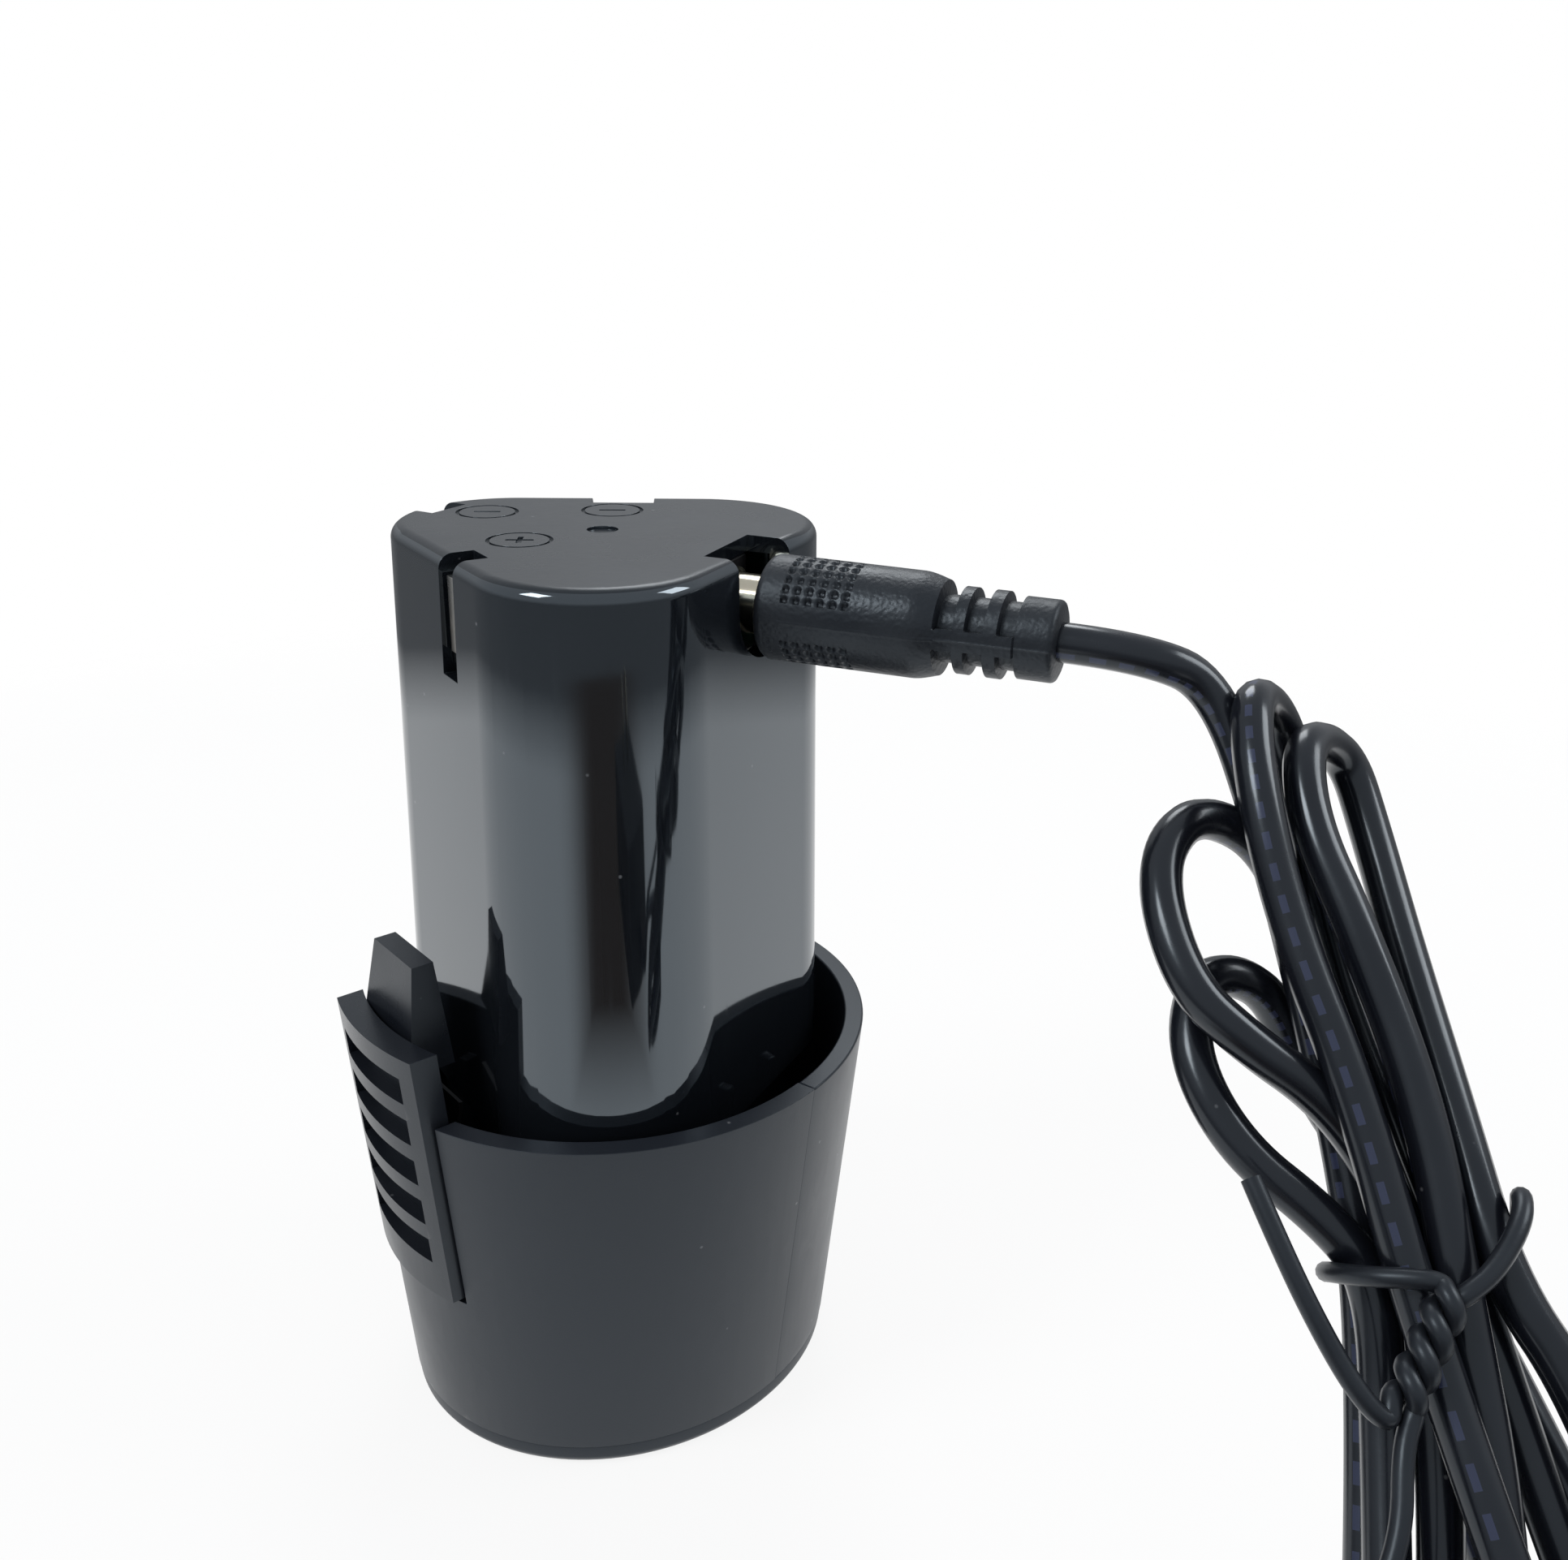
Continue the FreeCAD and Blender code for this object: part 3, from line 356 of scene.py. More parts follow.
LATCH_SATIN = Finish("latch_satin_plastic", (0.0095, 0.0115, 0.0165), (0.0150, 0.0170, 0.0220), (0.26, 0.40),
                     grain=(4200.0, 0.00001, 0.5), cloud=90.0, dust=0.2, tint_of_gloss=PAINTED_COOL_REFLECTION)
JACK_PLASTIC = Finish("jack_face_plastic", (0.004, 0.004, 0.005), (0.008, 0.008, 0.009), (0.35, 0.5))
GRAINED_SOFT = Finish("overmould_leather_grain", (0.0095, 0.0110, 0.0150), (0.0145, 0.0160, 0.0200),
                      (0.33, 0.50), grain=(2500.0, 0.00010, 0.6), cloud=160.0, tint_of_gloss=PAINTED_COOL_REFLECTION)
CORD_GLOSS = Finish("cord_glossy_sheath", (0.0060, 0.0068, 0.0105), (0.0095, 0.0105, 0.0150), (0.18, 0.32),
                    grain=(900.0, 0.00002, 0.3), cloud=120.0, coat=0.2, coat_roughness=0.12,
                    dust=0.2, tint_of_gloss=PAINTED_COOL_REFLECTION, printed=True)
TIE_COAT = Finish("tie_coated_wire", (0.010, 0.0115, 0.0155), (0.015, 0.017, 0.022), (0.30, 0.44),
                  grain=(2600.0, 0.00002, 0.4), cloud=160.0, tint_of_gloss=PAINTED_COOL_REFLECTION)
NICKEL = Finish("barrel_nickel", (0.74, 0.70, 0.58), (0.66, 0.60, 0.47), (0.10, 0.22),
                grain=(3000.0, 0.000004, 0.2), cloud=260.0, metallic=1.0)
SPRING_METAL = Finish("blade_spring_metal", (0.72, 0.71, 0.67), (0.58, 0.56, 0.52), (0.22, 0.36),
                      grain=(2600.0, 0.000006, 0.2), cloud=200.0, metallic=1.0, marks=0.15)
ZINC = Finish("screw_zinc", (0.58, 0.59, 0.60), (0.46, 0.46, 0.45), (0.25, 0.42), metallic=1.0, cloud=220.0)
NICKEL_STRIP = Finish("link_nickel_strip", (0.62, 0.61, 0.57), (0.54, 0.52, 0.47), (0.26, 0.4),
                      metallic=1.0, cloud=180.0, marks=0.1)
CELL_SLEEVE = Finish("cell_shrink_sleeve", (0.05, 0.16, 0.22), (0.07, 0.20, 0.27), (0.22, 0.34), cloud=90.0,
                     grain=(700.0, 0.00001, 0.2))
HOLDER_PLASTIC = Finish("holder_natural_plastic", (0.52, 0.52, 0.48), (0.58, 0.57, 0.53), (0.45, 0.6))
BOARD_MASK = Finish("board_solder_mask", (0.006, 0.022, 0.013), (0.009, 0.03, 0.018), (0.28, 0.42),
                    cloud=300.0)
# Painted shade: the leaf spring between latch and stem is made near-black so that the gap there reads dark.
SPRING_PAINTED_SHADE = Finish("spring_steel_painted_shade", (0.02, 0.02, 0.022), (0.035, 0.034, 0.034), (0.35, 0.5),
                   metallic=0.6, cloud=220.0)
SUPPLY_GRAIN = Finish("supply_fine_grain", (0.008, 0.0085, 0.010), (0.013, 0.0135, 0.015), (0.40, 0.55),
                      grain=(3200.0, 0.00004, 0.6), cloud=45.0, dust=0.2)
TAPE = Finish("transformer_tape", (0.70, 0.52, 0.10), (0.60, 0.44, 0.09), (0.3, 0.45), cloud=200.0)
CAN_SLEEVE = Finish("capacitor_sleeve", (0.03, 0.05, 0.14), (0.04, 0.06, 0.17), (0.2, 0.32), cloud=200.0)


def smooth_normals(mesh: bpy.types.Mesh, sharp: float = 38.0) -> None:
    """Shades a mesh smooth apart from edges that turn by more than an angle in degrees."""
    mesh.polygons.foreach_set("use_smooth", [True] * len(mesh.polygons))
    mesh.set_sharp_from_angle(angle=math.radians(sharp))


def plain_mesh(obj: bpy.types.Object, name: str) -> bpy.types.Mesh:
    """Returns the evaluated shape of an object as a new mesh of that name."""
    bpy.context.view_layer.update()
    seen = obj.evaluated_get(bpy.context.evaluated_depsgraph_get())
    mesh = bpy.data.meshes.new_from_object(seen)
    mesh.name = name
    return mesh


def placed(name: str, data) -> bpy.types.Object:
    """Links data to the scene as an object at the origin and returns the object."""
    obj = bpy.data.objects.new(name, data)
    bpy.context.scene.collection.objects.link(obj)
    return obj


def wire_curve(name: str, routes: list, radius: float, steps: int, rounds: int) -> bpy.types.Curve:
    """Returns a curve of round wires, one on each route.

    Args:
        name: the curve's name.
        routes: lists of control points.
        radius: the wire's radius.
        steps: how finely each span is divided along the wire.
        rounds: how finely the wire's section is divided.

    Returns:
        The curve, with closed ends.
    """
    curve = bpy.data.curves.new(name, "CURVE")
    curve.dimensions = "3D"
    for route in routes:
        spline = curve.splines.new("NURBS")
        spline.points.add(len(route) - 1)
        for point, place in zip(spline.points, route):
            point.co = (*place, 1.0)
        spline.order_u = 3
        spline.use_endpoint_u = True
        spline.resolution_u = steps
    curve.bevel_depth = radius
    curve.bevel_resolution = rounds
    curve.use_fill_caps = True
    return curve


def shown(mesh: bpy.types.Mesh, name: str, finish: Finish) -> bpy.types.Object:
    """Links a mesh as an object at the origin, dressed in one finish.

    Args:
        mesh: the shape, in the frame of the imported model.
        name: the object's name.
        finish: what it looks like.

    Returns:
        The linked object.
    """
    mesh.materials.clear()
    mesh.materials.append(finish.material())
    return placed(name, mesh)


def hand_over(obj: bpy.types.Object, body: Body, slot: Slot, *nodes: str) -> bpy.types.Object:
    """Gives a finished piece its body and hides the nodes that it stands for.

    Args:
        obj: the piece.
        body: what it moves with.
        slot: the record's material slot; not used.
        nodes: the CAD nodes that it replaces.

    Returns:
        The same piece.
    """
    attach(obj, body.value)
    if nodes:
        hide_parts(*nodes)
    log.info("piece %s rides on %s: %d faces", obj.name, body.value, len(getattr(obj.data, "polygons", [])))
    return obj


# Corners nearer than this are one corner, and faces that turn by less than this are one face
WELD = 2e-6
FLAT_TURN = math.radians(0.5)
# Edges that turn by more than this many degrees are rounded
EDGE_TURN = 30.0
# A face whose normal points up by more than this looks up
UPWARD = 0.8


@dataclass(frozen=True)
class Rounded:
    """A CAD node whose edges get the small rounding of the real moulding.

    Args:
        node: the CAD node.
        body: what it moves with.
        slot: its material slot.
        finish: what it looks like.
        edge: the rounding's width.
        steps: faces across the rounding.
        top_finish: the finish of faces that look up from above top_from, if they differ.
        top_from: the height from which they count.
    """

    node: str
    body: Body
    slot: Slot
    finish: Finish
    edge: float
    steps: int = 2
    top_finish: Finish | None = None
    top_from: float = 0.0

    def make(self) -> bpy.types.Object:
        """Builds the rounded copy and returns it, with the node replaced."""
        work = bmesh.new()
        work.from_mesh(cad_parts[self.node].data)
        bmesh.ops.remove_doubles(work, verts=work.verts, dist=WELD)
        bmesh.ops.dissolve_limit(work, angle_limit=FLAT_TURN, verts=work.verts, edges=work.edges)
        mesh = bpy.data.meshes.new(self.node + "_work")
        work.to_mesh(mesh)
        work.free()
        smooth_normals(mesh, EDGE_TURN)
        holder = placed(self.node + "_work", mesh)
        edge = holder.modifiers.new("edge", "BEVEL")
        edge.width = self.edge
        edge.segments = self.steps
        edge.limit_method = "ANGLE"
        edge.angle_limit = math.radians(EDGE_TURN)
        edge.miter_outer = "MITER_ARC"
        first = plain_mesh(holder, self.node + "_edged")
        holder.modifiers.clear()
        holder.data = first
        smooth_normals(first, 40.0)
        holder.modifiers.new("flats", "WEIGHTED_NORMAL").keep_sharp = True
        final = plain_mesh(holder, self.node + "_rounded")
        bpy.data.objects.remove(holder)
        piece = shown(final, self.node + "_rounded", self.finish)
        if self.top_finish:
            final.materials.append(self.top_finish.material())
            for face in final.polygons:
                if face.center.z > self.top_from and face.normal.z > UPWARD:
                    face.material_index = 1
        return hand_over(piece, self.body, self.slot, self.node)


def rib_row_tree() -> bpy.types.NodeTree:
    """Builds the Geometry Nodes tree of a row of raised ribs and returns it."""
    tree = bpy.data.node_groups.new("rib_row", "GeometryNodeTree")
    tree.interface.new_socket("Geometry", in_out="OUTPUT", socket_type="NodeSocketGeometry")
    tree.interface.new_socket("Count", in_out="INPUT", socket_type="NodeSocketInt").default_value = 9
    for key in ("First", "Pitch", "Size"):
        tree.interface.new_socket(key, in_out="INPUT", socket_type="NodeSocketVector")
    tree.interface.new_socket("Material", in_out="INPUT", socket_type="NodeSocketMaterial")
    given, out = tree.nodes.new("NodeGroupInput"), tree.nodes.new("NodeGroupOutput")
    line = tree.nodes.new("GeometryNodeMeshLine")
    line.mode = "OFFSET"
    block = tree.nodes.new("GeometryNodeMeshCube")
    for axis in ("X", "Y", "Z"):
        block.inputs[f"Vertices {axis}"].default_value = 2
    put = tree.nodes.new("GeometryNodeInstanceOnPoints")
    real = tree.nodes.new("GeometryNodeRealizeInstances")
    paint = tree.nodes.new("GeometryNodeSetMaterial")
    link = tree.links.new
    link(given.outputs["Count"], line.inputs["Count"])
    link(given.outputs["First"], line.inputs["Start Location"])
    link(given.outputs["Pitch"], line.inputs["Offset"])
    link(given.outputs["Size"], block.inputs["Size"])
    link(line.outputs["Mesh"], put.inputs["Points"])
    link(block.outputs["Mesh"], put.inputs["Instance"])
    link(put.outputs["Instances"], real.inputs["Geometry"])
    link(real.outputs["Geometry"], paint.inputs["Geometry"])
    link(given.outputs["Material"], paint.inputs["Material"])
    link(paint.outputs["Geometry"], out.inputs["Geometry"])
    return tree


@dataclass
class RibRow:
    """A row of raised ribs made by Geometry Nodes.

    Args:
        name: the piece's name.
        first: the middle of the first rib.
        pitch: the step from rib to rib.
        size: one rib's size.
        count: how many there are.
        finish: what they look like.
    """

    name: str
    first: Vector
    pitch: Vector
    size: Vector
    count: int
    finish: Finish

    def mesh(self) -> bpy.types.Mesh:
        """Runs the tree and returns the row as a mesh with softened edges."""
        tree = bpy.data.node_groups.get("rib_row") or rib_row_tree()
        holder = placed(self.name + "_work", bpy.data.meshes.new(self.name))
        rows = holder.modifiers.new("rows", "NODES")
        rows.node_group = tree
        names = {item.name: item.identifier for item in tree.interface.items_tree if item.in_out == "INPUT"}
        rows[names["Count"]] = self.count
        rows[names["First"]] = self.first
        rows[names["Pitch"]] = self.pitch
        rows[names["Size"]] = self.size
        rows[names["Material"]] = self.finish.material()
        soft = holder.modifiers.new("soft", "BEVEL")
        soft.width = min(self.size) * 0.3
        soft.segments = 2
        result = plain_mesh(holder, self.name)
        bpy.data.objects.remove(holder)
        smooth_normals(result)
        return result


@dataclass
class Pack:
    """The cup, the glossy stem, the latch and what is inside them."""

    stem_edge: float = 0.00022
    stem_top_from: float = 0.0905
    cup_edge: float = 0.0003
    latch_edge: float = 0.00028
    jack_edge: float = 0.00015
    blade_edge: float = 0.0001

    def dress(self) -> None:
        """Rounds what shows and gives every inner node its finish."""
        for part in (
            Rounded("stem_housing", Body.PACK, Slot.HOUSING, STEM_GLOSS, self.stem_edge, 3,
                    STEM_TOP, self.stem_top_from),
            Rounded("cup_front_shell", Body.PACK, Slot.CUP, CUP_SATIN, self.cup_edge),
            Rounded("cup_back_shell", Body.PACK, Slot.CUP, CUP_SATIN, self.cup_edge),
            Rounded("bottom_cover", Body.PACK, Slot.CUP, CUP_SATIN, self.cup_edge),
            Rounded("latch_button", Body.LATCH, Slot.LATCH, LATCH_SATIN, self.latch_edge, 3),
            Rounded("jack_body", Body.PACK, Slot.JACK, JACK_PLASTIC, self.jack_edge),
            *(Rounded(node, Body.PACK, Slot.BLADE, SPRING_METAL, self.blade_edge)
              for node in ("contact_plus", "contact_minus", "contact_sense")),
        ):
            part.make()
        inner = {
            CELL_SLEEVE: ("cell_front", "cell_right", "cell_left"),
            HOLDER_PLASTIC: ("cell_holder_lower", "cell_holder_upper"),
            BOARD_MASK: ("protection_board",),
            NICKEL_STRIP: ("link_strip_lower", "link_strip_upper"),
            NICKEL: ("jack_sleeve", "jack_centre_pin"),
            ZINC: ("cover_screws", "latch_pin"),
            SPRING_PAINTED_SHADE: ("latch_leaf_spring",),
        }
        for finish, nodes in inner.items():
            paint_nodes(finish, nodes)


def paint_nodes(finish: Finish, nodes: tuple[str, ...]) -> None:
    """Gives CAD nodes that keep their shape a finish through their material slots."""
    for node in nodes:
        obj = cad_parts[node]
        if not obj.material_slots:
            obj.data.materials.append(None)
        for place in obj.material_slots:
            place.material = finish.material()


@dataclass
class Plug:
    """The barrel plug with its grained overmould.

    Args:
        start, axis, height: where the overmould starts, which way it runs and how high it lies.
        length, body, taper: its whole length, that of its plain body and that of its taper.
        radius, neck, collar: the radii of the body, the relief and the end collar.
        collar_length: how long the collar is.
        front_round, end_round: the rounding of its two ends.
        draft: how much thinner the body gets along its length.
        slot_count, slot_first, slot_pitch, slot_width: the relief slots along its length.
        core, spine: the radius inside a slot, and half the width of the web beside it.
        seam_from, seam_half_turn, seam_height: the parting line's start, half width and height.
        dimple_from, dimple_pitch, dimple_rings: the rings of dimples along the length.
        dimple_turn_from, dimple_turn, dimple_rows: the dimples of one side in degrees from the seam.
        dimple_margin: how far a dimple reaches past the outer rings and rows, in steps.
        dimple_depth, dimple_size, dimple_slope, dimple_stretch: a dimple's depth in metres and
            its size, the width of its edge and its stretch, in steps.
        stations, columns: how many faces lie along it and round it.
    """

    start: float = 0.0174
    axis: Vector = Vector((0.906308, -0.422618, 0.0))
    height: float = 0.0874
    length: float = 0.027
    body: float = 0.0142
    taper: float = 0.0044
    radius: float = 0.00485
    neck: float = 0.00385
    collar: float = 0.0036
    collar_length: float = 0.0033
    front_round: float = 0.0009
    end_round: float = 0.0005
    draft: float = 0.00008
    slot_count: int = 3
    slot_first: float = 0.0167
    slot_pitch: float = 0.00275
    slot_width: float = 0.0015
    core: float = 0.0030
    spine: float = 0.0010
    seam_from: float = 0.0008
    seam_half_turn: float = 0.014
    seam_height: float = 0.00006
    dimple_from: float = 0.0030
    dimple_pitch: float = 0.00115
    dimple_rings: int = 6
    dimple_turn_from: float = 24.0
    dimple_turn: float = 12.0
    dimple_rows: int = 12
    dimple_margin: float = 0.2
    dimple_depth: float = 0.00034
    dimple_size: float = 0.34
    dimple_slope: float = 0.12
    dimple_stretch: float = 0.85
    stations: int = 190
    columns: int = 208

    def _outline(self, run: float) -> float:
        """Returns the overmould's plain radius at a distance along the plug."""
        if run < self.front_round:
            lift = 1.0 - run / self.front_round
            return self.radius - self.front_round * (1.0 - math.sqrt(max(0.0, 1.0 - lift * lift)))
        if run < self.body:
            return self.radius - self.draft * run / self.body
        if run < self.body + self.taper:
            share = (run - self.body) / self.taper
            drop = self.radius - self.draft - self.neck
            return self.radius - self.draft - drop * share * share * (3 - 2 * share)
        end = self.length - run
        inward = max(0.0, self.end_round - end)
        round_off = self.end_round - math.sqrt(max(0.0, self.end_round**2 - inward**2))
        return (self.collar if end < self.collar_length else self.neck) - round_off

    def _dimple(self, run: float, turn: float) -> float:
        """Returns how deep a dimple is at a distance and an angle, 0 between the dimples."""
        ring = (run - self.dimple_from) / self.dimple_pitch
        folded = abs(math.degrees(math.atan2(math.sin(turn), math.cos(turn))))
        row = (folded - self.dimple_turn_from) / self.dimple_turn
        margin = self.dimple_margin
        if not -margin < ring < self.dimple_rings - 1 + margin:
            return 0.0
        if not -margin < row < self.dimple_rows - 1 + margin:
            return 0.0
        off = math.hypot(ring - round(ring), (row - round(row)) * self.dimple_stretch)
        return self.dimple_depth * max(0.0, min(1.0, (self.dimple_size - off) / self.dimple_slope))

    def _radius(self, run: float, turn: float) -> float:
        """Returns the radius at a distance and an angle, with slots, dimples and parting line."""
        radius = self._outline(run)
        side = abs(math.sin(turn)) * radius
        for n in range(self.slot_count):
            inside = run - (self.slot_first + n * self.slot_pitch)
            if 0.0 < inside < self.slot_width and side > self.spine:
                return self.core
        if abs(math.sin(turn)) < self.seam_half_turn and run > self.seam_from:
            radius += self.seam_height
        return radius - self._dimple(run, turn)

    def overmould(self) -> bpy.types.Mesh:
        """Returns the overmould as one closed mesh."""
        across = Vector((-self.axis.y, self.axis.x, 0.0))
        up = Vector((0.0, 0.0, 1.0))
        origin = self.axis * self.start + Vector((0.0, 0.0, self.height))
        work = bmesh.new()
        rings = []
        for i in range(self.stations + 1):
            run = self.length * i / self.stations
            ring = []
            for j in range(self.columns):
                turn = 2 * math.pi * j / self.columns
                out = across * math.cos(turn) + up * math.sin(turn)
                ring.append(work.verts.new(origin + self.axis * run + out * self._radius(run, turn)))
            rings.append(ring)
        for first, second in zip(rings, rings[1:]):
            for j in range(self.columns):
                k = (j + 1) % self.columns
                work.faces.new((first[j], first[k], second[k], second[j]))
        for ring, run in ((rings[0], 0.0), (rings[-1], self.length)):
            middle = work.verts.new(origin + self.axis * run)
            for j in range(self.columns):
                work.faces.new((ring[j], ring[(j + 1) % self.columns], middle))
        bmesh.ops.recalc_face_normals(work, faces=work.faces)
        mesh = bpy.data.meshes.new("plug_overmould_grained")
        work.to_mesh(mesh)
        work.free()
        smooth_normals(mesh, 50.0)
        return mesh

    def dress(self) -> list[bpy.types.Object]:
        """Builds the plug's pieces and returns them."""
        soft = shown(self.overmould(), "plug_overmould_grained", GRAINED_SOFT)
        hand_over(soft, Body.LEAD, Slot.OVERMOULD, "plug_overmould")
        barrel = Rounded("plug_barrel", Body.LEAD, Slot.PLATED, NICKEL, 0.0002, 3).make()
        paint_nodes(JACK_PLASTIC, ("plug_insulator",))
        paint_nodes(NICKEL, ("plug_tip_contact",))
        return [soft, barrel]


HANK_ROUTE = (
    (0.0402, -0.0188, 0.0874), (0.0466, -0.0217, 0.0874), (0.0536, -0.0206, 0.0842),
    (0.0574, -0.0273, 0.0725), (0.0598, -0.0347, 0.0612), (0.0614, -0.0411, 0.0523),
    (0.0618, -0.0481, 0.0438), (0.0608, -0.0556, 0.0331), (0.0584, -0.0657, 0.0208),
    (0.0564, -0.0767, 0.0091), (0.0586, -0.0845, 0.0033), (0.0650, -0.0912, 0.0023),
    (0.0698, -0.0923, 0.0064), (0.0700, -0.0839, 0.0176), (0.0672, -0.0742, 0.0289),
    (0.0649, -0.0664, 0.0368), (0.0624, -0.0536, 0.0482), (0.0599, -0.0450, 0.0593),
    (0.0562, -0.0368, 0.0694), (0.0544, -0.0299, 0.0792), (0.0556, -0.0230, 0.0849),
    (0.0612, -0.0176, 0.0797), (0.0622, -0.0229, 0.0722), (0.0638, -0.0320, 0.0629),
    (0.0664, -0.0428, 0.0536), (0.0686, -0.0508, 0.0459), (0.0710, -0.0593, 0.0361),
    (0.0752, -0.0709, 0.0225), (0.0760, -0.0798, 0.0116), (0.0730, -0.0853, 0.0058),
    (0.0670, -0.0865, 0.0062), (0.0636, -0.0831, 0.0117), (0.0648, -0.0741, 0.0224),
    (0.0672, -0.0640, 0.0348), (0.0660, -0.0536, 0.0482), (0.0652, -0.0455, 0.0584),
    (0.0618, -0.0365, 0.0691), (0.0592, -0.0302, 0.0756), (0.0600, -0.0245, 0.0810),
    (0.0662, -0.0195, 0.0777), (0.0676, -0.0240, 0.0718), (0.0682, -0.0325, 0.0646),
    (0.0688, -0.0433, 0.0566), (0.0696, -0.0534, 0.0481), (0.0740, -0.0588, 0.0422),
    (0.0774, -0.0688, 0.0310), (0.0784, -0.0789, 0.0187), (0.0776, -0.0862, 0.0078),
    (0.0720, -0.0880, 0.0022), (0.0650, -0.0860, 0.0018), (0.0610, -0.0804, 0.0070),
    (0.0624, -0.0692, 0.0211), (0.0646, -0.0594, 0.0350), (0.0650, -0.0508, 0.0460),
    (0.0624, -0.0456, 0.0527), (0.0582, -0.0432, 0.0578), (0.0524, -0.0419, 0.0616),
    (0.0476, -0.0388, 0.0653), (0.0464, -0.0315, 0.0718), (0.0506, -0.0262, 0.0749),
    (0.0572, -0.0247, 0.0719), (0.0614, -0.0253, 0.0651), (0.0646, -0.0323, 0.0566),
    (0.0654, -0.0409, 0.0495), (0.0654, -0.0481, 0.0437), (0.0678, -0.0568, 0.0316),
    (0.0720, -0.0671, 0.0193), (0.0736, -0.0761, 0.0086), (0.0706, -0.0806, 0.0033),
    (0.0636, -0.0813, 0.0032), (0.0580, -0.0821, 0.0084), (0.0564, -0.0779, 0.0152),
    (0.0582, -0.0686, 0.0257), (0.0606, -0.0580, 0.0364), (0.0614, -0.0508, 0.0460),
    (0.0576, -0.0482, 0.0500), (0.0512, -0.0445, 0.0540), (0.0484, -0.0386, 0.0592),
    (0.0508, -0.0335, 0.0636), (0.0568, -0.0319, 0.0615), (0.0604, -0.0326, 0.0550),
    (0.0634, -0.0359, 0.0493), (0.0684, -0.0409, 0.0457), (0.0692, -0.0480, 0.0437),
    (0.0726, -0.0566, 0.0366), (0.0760, -0.0661, 0.0288), (0.0770, -0.0770, 0.0248),
    (0.0736, -0.0856, 0.0215), (0.0696, -0.0916, 0.0193), (0.0666, -0.0970, 0.0106),
    (0.0660, -0.1020, 0.0070), (0.0660, -0.1070, 0.0070),
)


@dataclass
class Lead:
    """The cord from the plug through the tied hank to the supply."""

    diameter: float = 0.0035
    length: float = 0.972
    exit: tuple[float, float, float] = (0.04024, -0.01876, 0.0874)

    def cord(self, companions: list) -> bpy.types.Object:
        """Builds the cord on its listed route.

        Args:
            companions: the pieces on the cord's far end; not used.

        Returns:
            The cord's curve object.
        """
        curve = wire_curve("charger_cord", [HANK_ROUTE], self.diameter / 2, 10, 5)
        curve.materials.append(CORD_GLOSS.material())
        obj = placed("charger_cord", curve)
        hand_over(obj, Body.LEAD, Slot.CORD, "cord_free", "cord_hank", "cord_tail")
        return obj


@dataclass
class WireTie:
    """The coated wire that is wrapped round the hank and twisted on itself."""

    wire: float = 0.00078
    twist_turns: float = 2.0
    twist_steps: int = 18
    twist_reach: float = 1.15
    origin: Vector = Vector((0.060, -0.020, 0.084))
    along: Vector = Vector((0.0, 0.631, 0.774))
    outward: Vector = Vector((0.0, -0.774, 0.631))

    def _place(self, x: float, run: float, out: float) -> Vector:
        """Turns a place on the leaning hank, in millimetres, into a point in metres."""
        return self.origin + (Vector((x - 60.0, 0, 0)) + self.along * run + self.outward * out) / 1000

    def _twist(self, phase: float) -> list[Vector]:
        """Returns one strand of the twisted pair, from the wrap down to where it opens."""
        top, foot = self._place(64.0, -49.6, 6.9), self._place(59.0, -57.2, 7.4)
        run = (foot - top).normalized()
        side = run.cross(self.outward).normalized()
        points = []
        for n in range(self.twist_steps + 1):
            turn = phase + n / self.twist_steps * math.tau * self.twist_turns
            swing = side * math.cos(turn) + self.outward * math.sin(turn)
            points.append(top.lerp(foot, n / self.twist_steps) + swing * self.wire * self.twist_reach)
        return points

    def strands(self) -> list[list[Vector]]:
        """Returns the control points of the tie's two strands."""
        put = self._place
        left = [put(*p) for p in ((49.6, -41.6, 8.0), (50.4, -44.4, 8.4), (52.6, -50.6, 8.6),
                                  (55.4, -56.2, 8.2), (57.8, -58.6, 7.6))]
        down = [put(*p) for p in ((50.6, -74.5, 8.2), (54.4, -70.5, 8.6), (57.4, -65.5, 8.4),
                                  (58.4, -60.2, 7.8))]
        half_left = [put(*p) for p in ((61.8, -48.8, 6.8), (58.4, -48.6, 4.6), (57.2, -48.2, 0.0),
                                       (59.4, -48.4, -4.6), (64.0, -48.0, -7.2))]
        half_right = [put(*p) for p in ((67.4, -48.4, 6.8), (70.6, -44.6, 6.0), (71.8, -42.4, 3.6),
                                        (73.2, -45.6, 0.0), (71.4, -47.2, -4.8), (67.0, -48.0, -7.2))]
        first = left + list(reversed(self._twist(0.0))) + half_left
        second = down + list(reversed(self._twist(math.pi))) + half_right
        second.append(first[-1])
        return [first, second]

    def dress(self) -> bpy.types.Object:
        """Builds the tie and returns it."""
        holder = placed("wire_tie_work", wire_curve("wire_tie_work", self.strands(), self.wire, 6, 4))
        mesh = plain_mesh(holder, "wire_tie_twisted")
        bpy.data.objects.remove(holder)
        smooth_normals(mesh, 60.0)
        piece = shown(mesh, "wire_tie_twisted", TIE_COAT)
        return hand_over(piece, Body.LEAD, Slot.TIE, "wire_tie")


